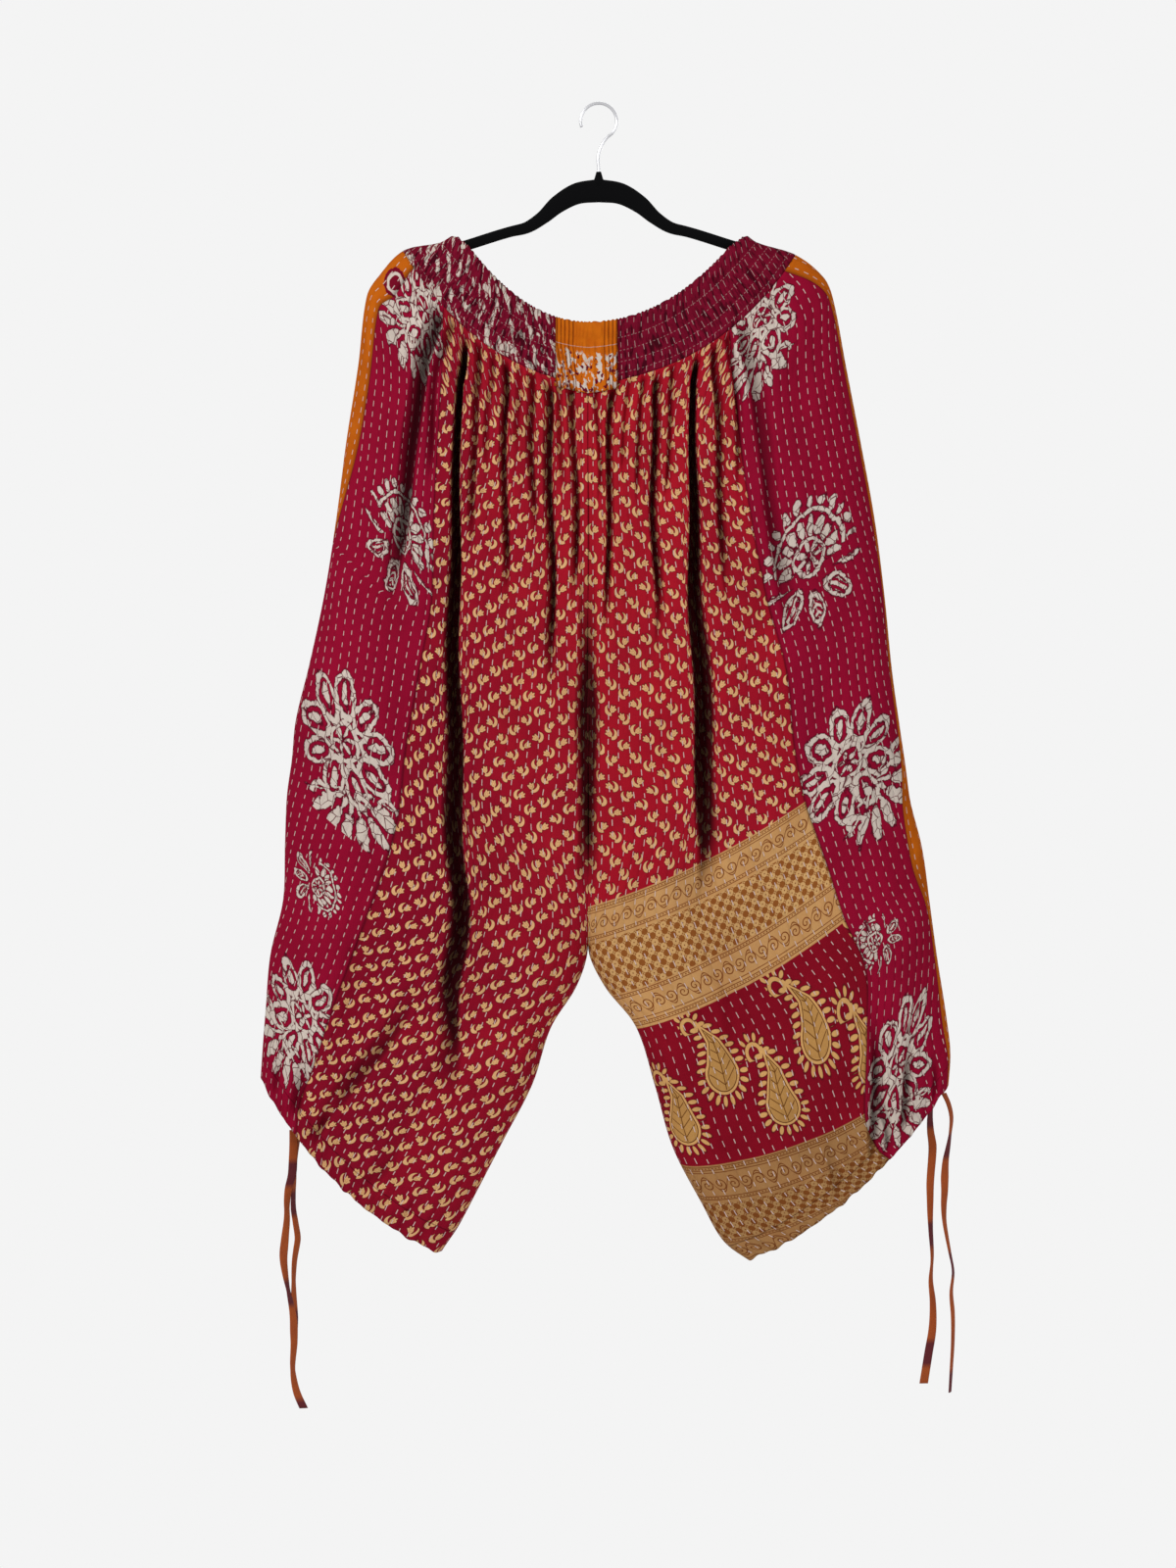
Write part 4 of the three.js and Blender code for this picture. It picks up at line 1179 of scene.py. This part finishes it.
def oval_outline(wide, thick, sides=16, power=1.0):
    """Corners of an oval. A power under 1 squares it off."""
    turns = [2 * math.pi * k / sides for k in range(sides)]
    corners = [(math.cos(turn), math.sin(turn)) for turn in turns]
    bulged = [tuple(math.copysign(abs(c) ** power, c) for c in corner) for corner in corners]
    return [(wide / 2 * a, thick / 2 * b) for a, b in bulged]


def swept(name, node, look, centres, aside, lift, outlines, closed=False):
    """One ring of edges, extruded from centre to centre. aside and lift are the two directions across the
    sweep at each centre, and outlines holds the corners of the outline at each."""
    bm = bmesh.new()
    corner = bm.verts.layers.int.new("corner")
    for i, (centre, outline) in enumerate(zip(centres, outlines)):
        if i == 0:
            ring = bmesh.ops.create_circle(bm, segments=len(outline), radius=1)["verts"]
            for k, vert in enumerate(ring):
                vert[corner] = k
            edges = first_edges = bm.edges[:]
        else:
            geom = bmesh.ops.extrude_edge_only(bm, edges=edges)["geom"]
            ring = {part for part in geom if isinstance(part, bmesh.types.BMVert)}
            lines = [part for part in geom if isinstance(part, bmesh.types.BMEdge)]
            edges = [line for line in lines if set(line.verts) <= ring]
        for vert in ring:
            a, b = outline[vert[corner]]
            vert.co = centre + aside[i] * a + lift[i] * b
    if closed:
        bmesh.ops.bridge_loops(bm, edges=edges + first_edges)
    else:
        bmesh.ops.holes_fill(bm, edges=edges + first_edges, sides=0)
    bmesh.ops.recalc_face_normals(bm, faces=bm.faces[:])
    mesh = bpy.data.meshes.new(name)
    bm.to_mesh(mesh)
    bm.free()
    mesh.polygons.foreach_set("use_smooth", np.ones(len(mesh.polygons), bool))
    piece = bpy.data.objects.new(name.replace(" ", "_"), mesh)
    bpy.context.scene.collection.objects.link(piece)
    mesh.materials.append(look)
    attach(piece, "root")
    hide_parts(node)
    print(f"{name}: {len(mesh.polygons)} faces")
    return piece


# %% [markdown]
# ## The hanger
# It is one flocked plastic frame: a deep arch, arms that slope down to rounded ends, and a thin bar
# below. Its width changes along the way, so the sweep's outline does too. A short collar at the top of
# the arch grips the wire of the hook.

# %% The hanger's frame
BACKWARDS = [0.0, 1.0, 0.0]
HANGER = [  # x and z of the middle of the frame and its width, from the arch round to the middle of the bar
    (0, -88, 24), (22, -91, 22), (42, -102, 18.5), (58, -116, 14), (74, -126, 12), (90, -130, 11),
    (132, -143, 11), (170, -155, 11), (194, -163.5, 11), (206, -172, 9), (210.5, -186, 7.5),
    (209.5, -204, 6.8), (201, -220, 6.4), (186, -226, 6), (120, -226, 6), (60, -226, 6), (0, -226, 6),
]
FRAME_RINGS = 360
FRAME_THICK = 6 * MM
looped = HANGER + [(-x, z, w) for x, z, w in HANGER[-2::-1]]
route = smooth_route([(x * MM, 0, z * MM) for x, z, w in looped], FRAME_RINGS + 1)[:-1]
sides = np.linalg.norm(np.diff(np.array([(x, z) for x, z, w in looped]), axis=0), axis=1)
reach = np.concatenate([[0], np.cumsum(sides)]) / sides.sum()
shares = np.arange(FRAME_RINGS) / FRAME_RINGS
widths = np.interp(shares, reach, [w for x, z, w in looped]) * MM
ahead = headings(route, looped=True)
across_frame = np.stack([-ahead[:, 2], ahead[:, 1], ahead[:, 0]], -1)
flock = plain("black flock", "#0B0B0C", 1.0, fuzz=0.05)
swept(
    "hanger frame", "hanger_body", flock, route,
    across_frame, np.tile(BACKWARDS, (len(route), 1)),
    [oval_outline(width, FRAME_THICK, power=0.7) for width in widths], closed=True,
)

# %% The collar and the hook
NECK = [  # z, width and thickness
    (-84, 15, 6), (-79, 11.5, 6), (-75, 8.5, 6), (-71.5, 6.5, 5.6), (-68.8, 5, 5.2),
]
neck = np.array([(0.0, 0.0, z * MM) for z, wide, thick in NECK])
swept(
    "hanger neck", "hanger_body", flock, neck,
    np.tile([1.0, 0.0, 0.0], (len(NECK), 1)), np.tile(BACKWARDS, (len(NECK), 1)),
    [oval_outline(wide * MM, thick * MM) for z, wide, thick in NECK],
)

HOOK_WIRE = 3.4 * MM
HOOK_BEND = 18.5 * MM
hook_middle = HOOK_WIRE / 2 - HOOK_BEND
hook_route = [(0, 0, -0.0755), (0, 0, -0.0674), (0, 0, hook_middle - 0.033)]
for degrees in range(-60, 201, 20):
    turn = math.radians(degrees)
    hook_route.append((HOOK_BEND * math.cos(turn), 0, hook_middle + HOOK_BEND * math.sin(turn)))
wire = smooth_route(hook_route, 90)
ahead = headings(wire)
across_wire = np.stack([-ahead[:, 2], np.zeros(len(wire)), ahead[:, 0]], -1)
steel = plain("bright steel", "#C9C9CC", 0.25, 1.0)
swept(
    "hanger hook", "hanger_hook", steel, wire,
    across_wire, np.tile(BACKWARDS, (len(wire), 1)), [oval_outline(HOOK_WIRE, HOOK_WIRE, 14)] * len(wire),
)

# %% [markdown]
# ## The drawstring ends
# Each cuff's drawstring comes out as two limp ends, flat tapes of folded rust cotton that twist as they
# fall. Each route is a given list of points, and the twist is another, in degrees, spread evenly along it.

# %% The drawstring ends
TIES = {
    "left tape front": ("left_tie_front", [
        (-314, 10.4, -1053), (-314, 10.4, -1069), (-314.5, 9.6, -1084), (-315.5, 8.8, -1099),
        (-319, 7.2, -1113), (-320.5, 6.4, -1128), (-320.5, 6, -1143), (-322.5, 6, -1164),
        (-324, 6, -1185), (-322, 5.6, -1202), (-318.5, 5, -1220), (-314.5, 4.2, -1240),
        (-313, 4, -1268), (-314, 3, -1302), (-310, 2.5, -1322), (-303, 2, -1338)],
        [20, 10, 60, 20, 75, 30, 65, 15]),
    "left tape back": ("left_tie_back", [
        (-309, 16.4, -1058), (-310.5, 16.2, -1069), (-312, 16, -1080), (-313, 15.4, -1092),
        (-313.5, 15, -1104), (-314.5, 14.6, -1119), (-314.5, 14, -1134), (-312, 13.4, -1150),
        (-310, 13, -1166), (-311.5, 13, -1176), (-313, 12.8, -1186), (-314, 12.4, -1202),
        (-314, 12, -1219), (-313, 11, -1250), (-313.5, 10.5, -1268), (-314, 10, -1285)],
        [70, 75, 60, 50, 70, 40, 60]),
    "right tape inner": ("right_tie_inner", [
        (342, 11, -1028.6), (341, 10.4, -1040), (341.5, 10, -1054), (343.5, 9.6, -1069),
        (343, 9.2, -1082), (341.8, 9, -1096), (341, 9, -1110), (341, 8.8, -1124),
        (341, 8.4, -1140), (341.5, 8, -1156), (343, 8, -1184), (341.5, 7.4, -1208),
        (343.5, 7, -1229), (343, 6.4, -1258), (339, 5.6, -1282), (334, 5, -1313)],
        [60, 15, 25, 55, 70, 40, 10, 5]),
    "right tape outer": ("right_tie_outer", [
        (355, 10, -1015), (360, 10, -1026), (363, 10, -1040), (362, 9.6, -1054),
        (359.5, 9, -1070), (357, 9, -1084), (356, 8.8, -1100), (355.8, 8.2, -1116),
        (355, 8, -1130), (355.5, 8, -1146), (358, 8, -1162), (361, 8, -1178),
        (364.5, 7.4, -1198), (362.5, 6.8, -1220), (364, 6, -1241), (364, 6, -1271),
        (362.5, 5.4, -1297), (361, 5, -1322)],
        [50, 70, 20, 60, 75, 60, 65, 70]),
}
TAPE_WIDE = 9 * MM
TAPE_THICK = 1.6 * MM
TAPE_RINGS = 72


def tape_cloth(name, start):
    """Rust cotton with a maroon stretch every 122 mm, counted from start."""
    kit = Kit(name)
    spot = kit.node("ShaderNodeTexCoord")
    parts = kit.node("ShaderNodeSeparateXYZ", (), {0: Value(kit, spot.outputs["Object"])})
    x, z = Value(kit, parts.outputs[0]) * 1000.0, Value(kit, parts.outputs[2]) * 1000.0
    rust = kit.mix(linear("#B4520F"), linear("#8E3A0C"), kit.noise(x, z, 22.0))
    maroon = outlined(kit, kit.cell(z + start, 122.0)[1], 13.0)
    rust = kit.mix(rust, linear("#5A0E16"), kit.inside(maroon, 6.0))
    kit.plug(kit.shader.inputs["Base Color"], rust)
    kit.shader.inputs["Roughness"].default_value = 0.85
    return kit.material


for number, (name, (node, points, twist)) in enumerate(TIES.items()):
    route = smooth_route(np.array(points) * MM, TAPE_RINGS)
    shares = np.linspace(0, 1, TAPE_RINGS)
    turn = np.radians(np.interp(shares, np.linspace(0, 1, len(twist)), twist))
    flat = np.zeros(TAPE_RINGS)
    aside = np.stack([np.cos(turn), np.sin(turn), flat], -1)
    lift = np.stack([-np.sin(turn), np.cos(turn), flat], -1)
    rust_cotton = tape_cloth(f"{name} tape", number * 31.0)
    outlines = [oval_outline(TAPE_WIDE, TAPE_THICK, 12, 0.6)] * TAPE_RINGS
    tape = swept(name, node, rust_cotton, route, aside, lift, outlines)
    length = float(np.linalg.norm(np.diff(route, axis=0), axis=1).sum())
    print(f"{name}: {length:.3f} m")

# %% [markdown]
# ## The floor
# A pale floor well below the tapes, for the views from other sides. It is only the stage, not the
# garment.

# %% The floor
bm = bmesh.new()
bmesh.ops.create_grid(bm, x_segments=1, y_segments=1, size=0.9)
floor_mesh = bpy.data.meshes.new("floor")
bm.to_mesh(floor_mesh)
bm.free()
floor_mesh.transform(Matrix.Translation((0, -0.68, -1.56)))
floor = bpy.data.objects.new("floor", floor_mesh)
floor_mesh.materials.append(plain("pale floor", "#EFEFEF", 0.9))
bpy.context.scene.collection.objects.link(floor)
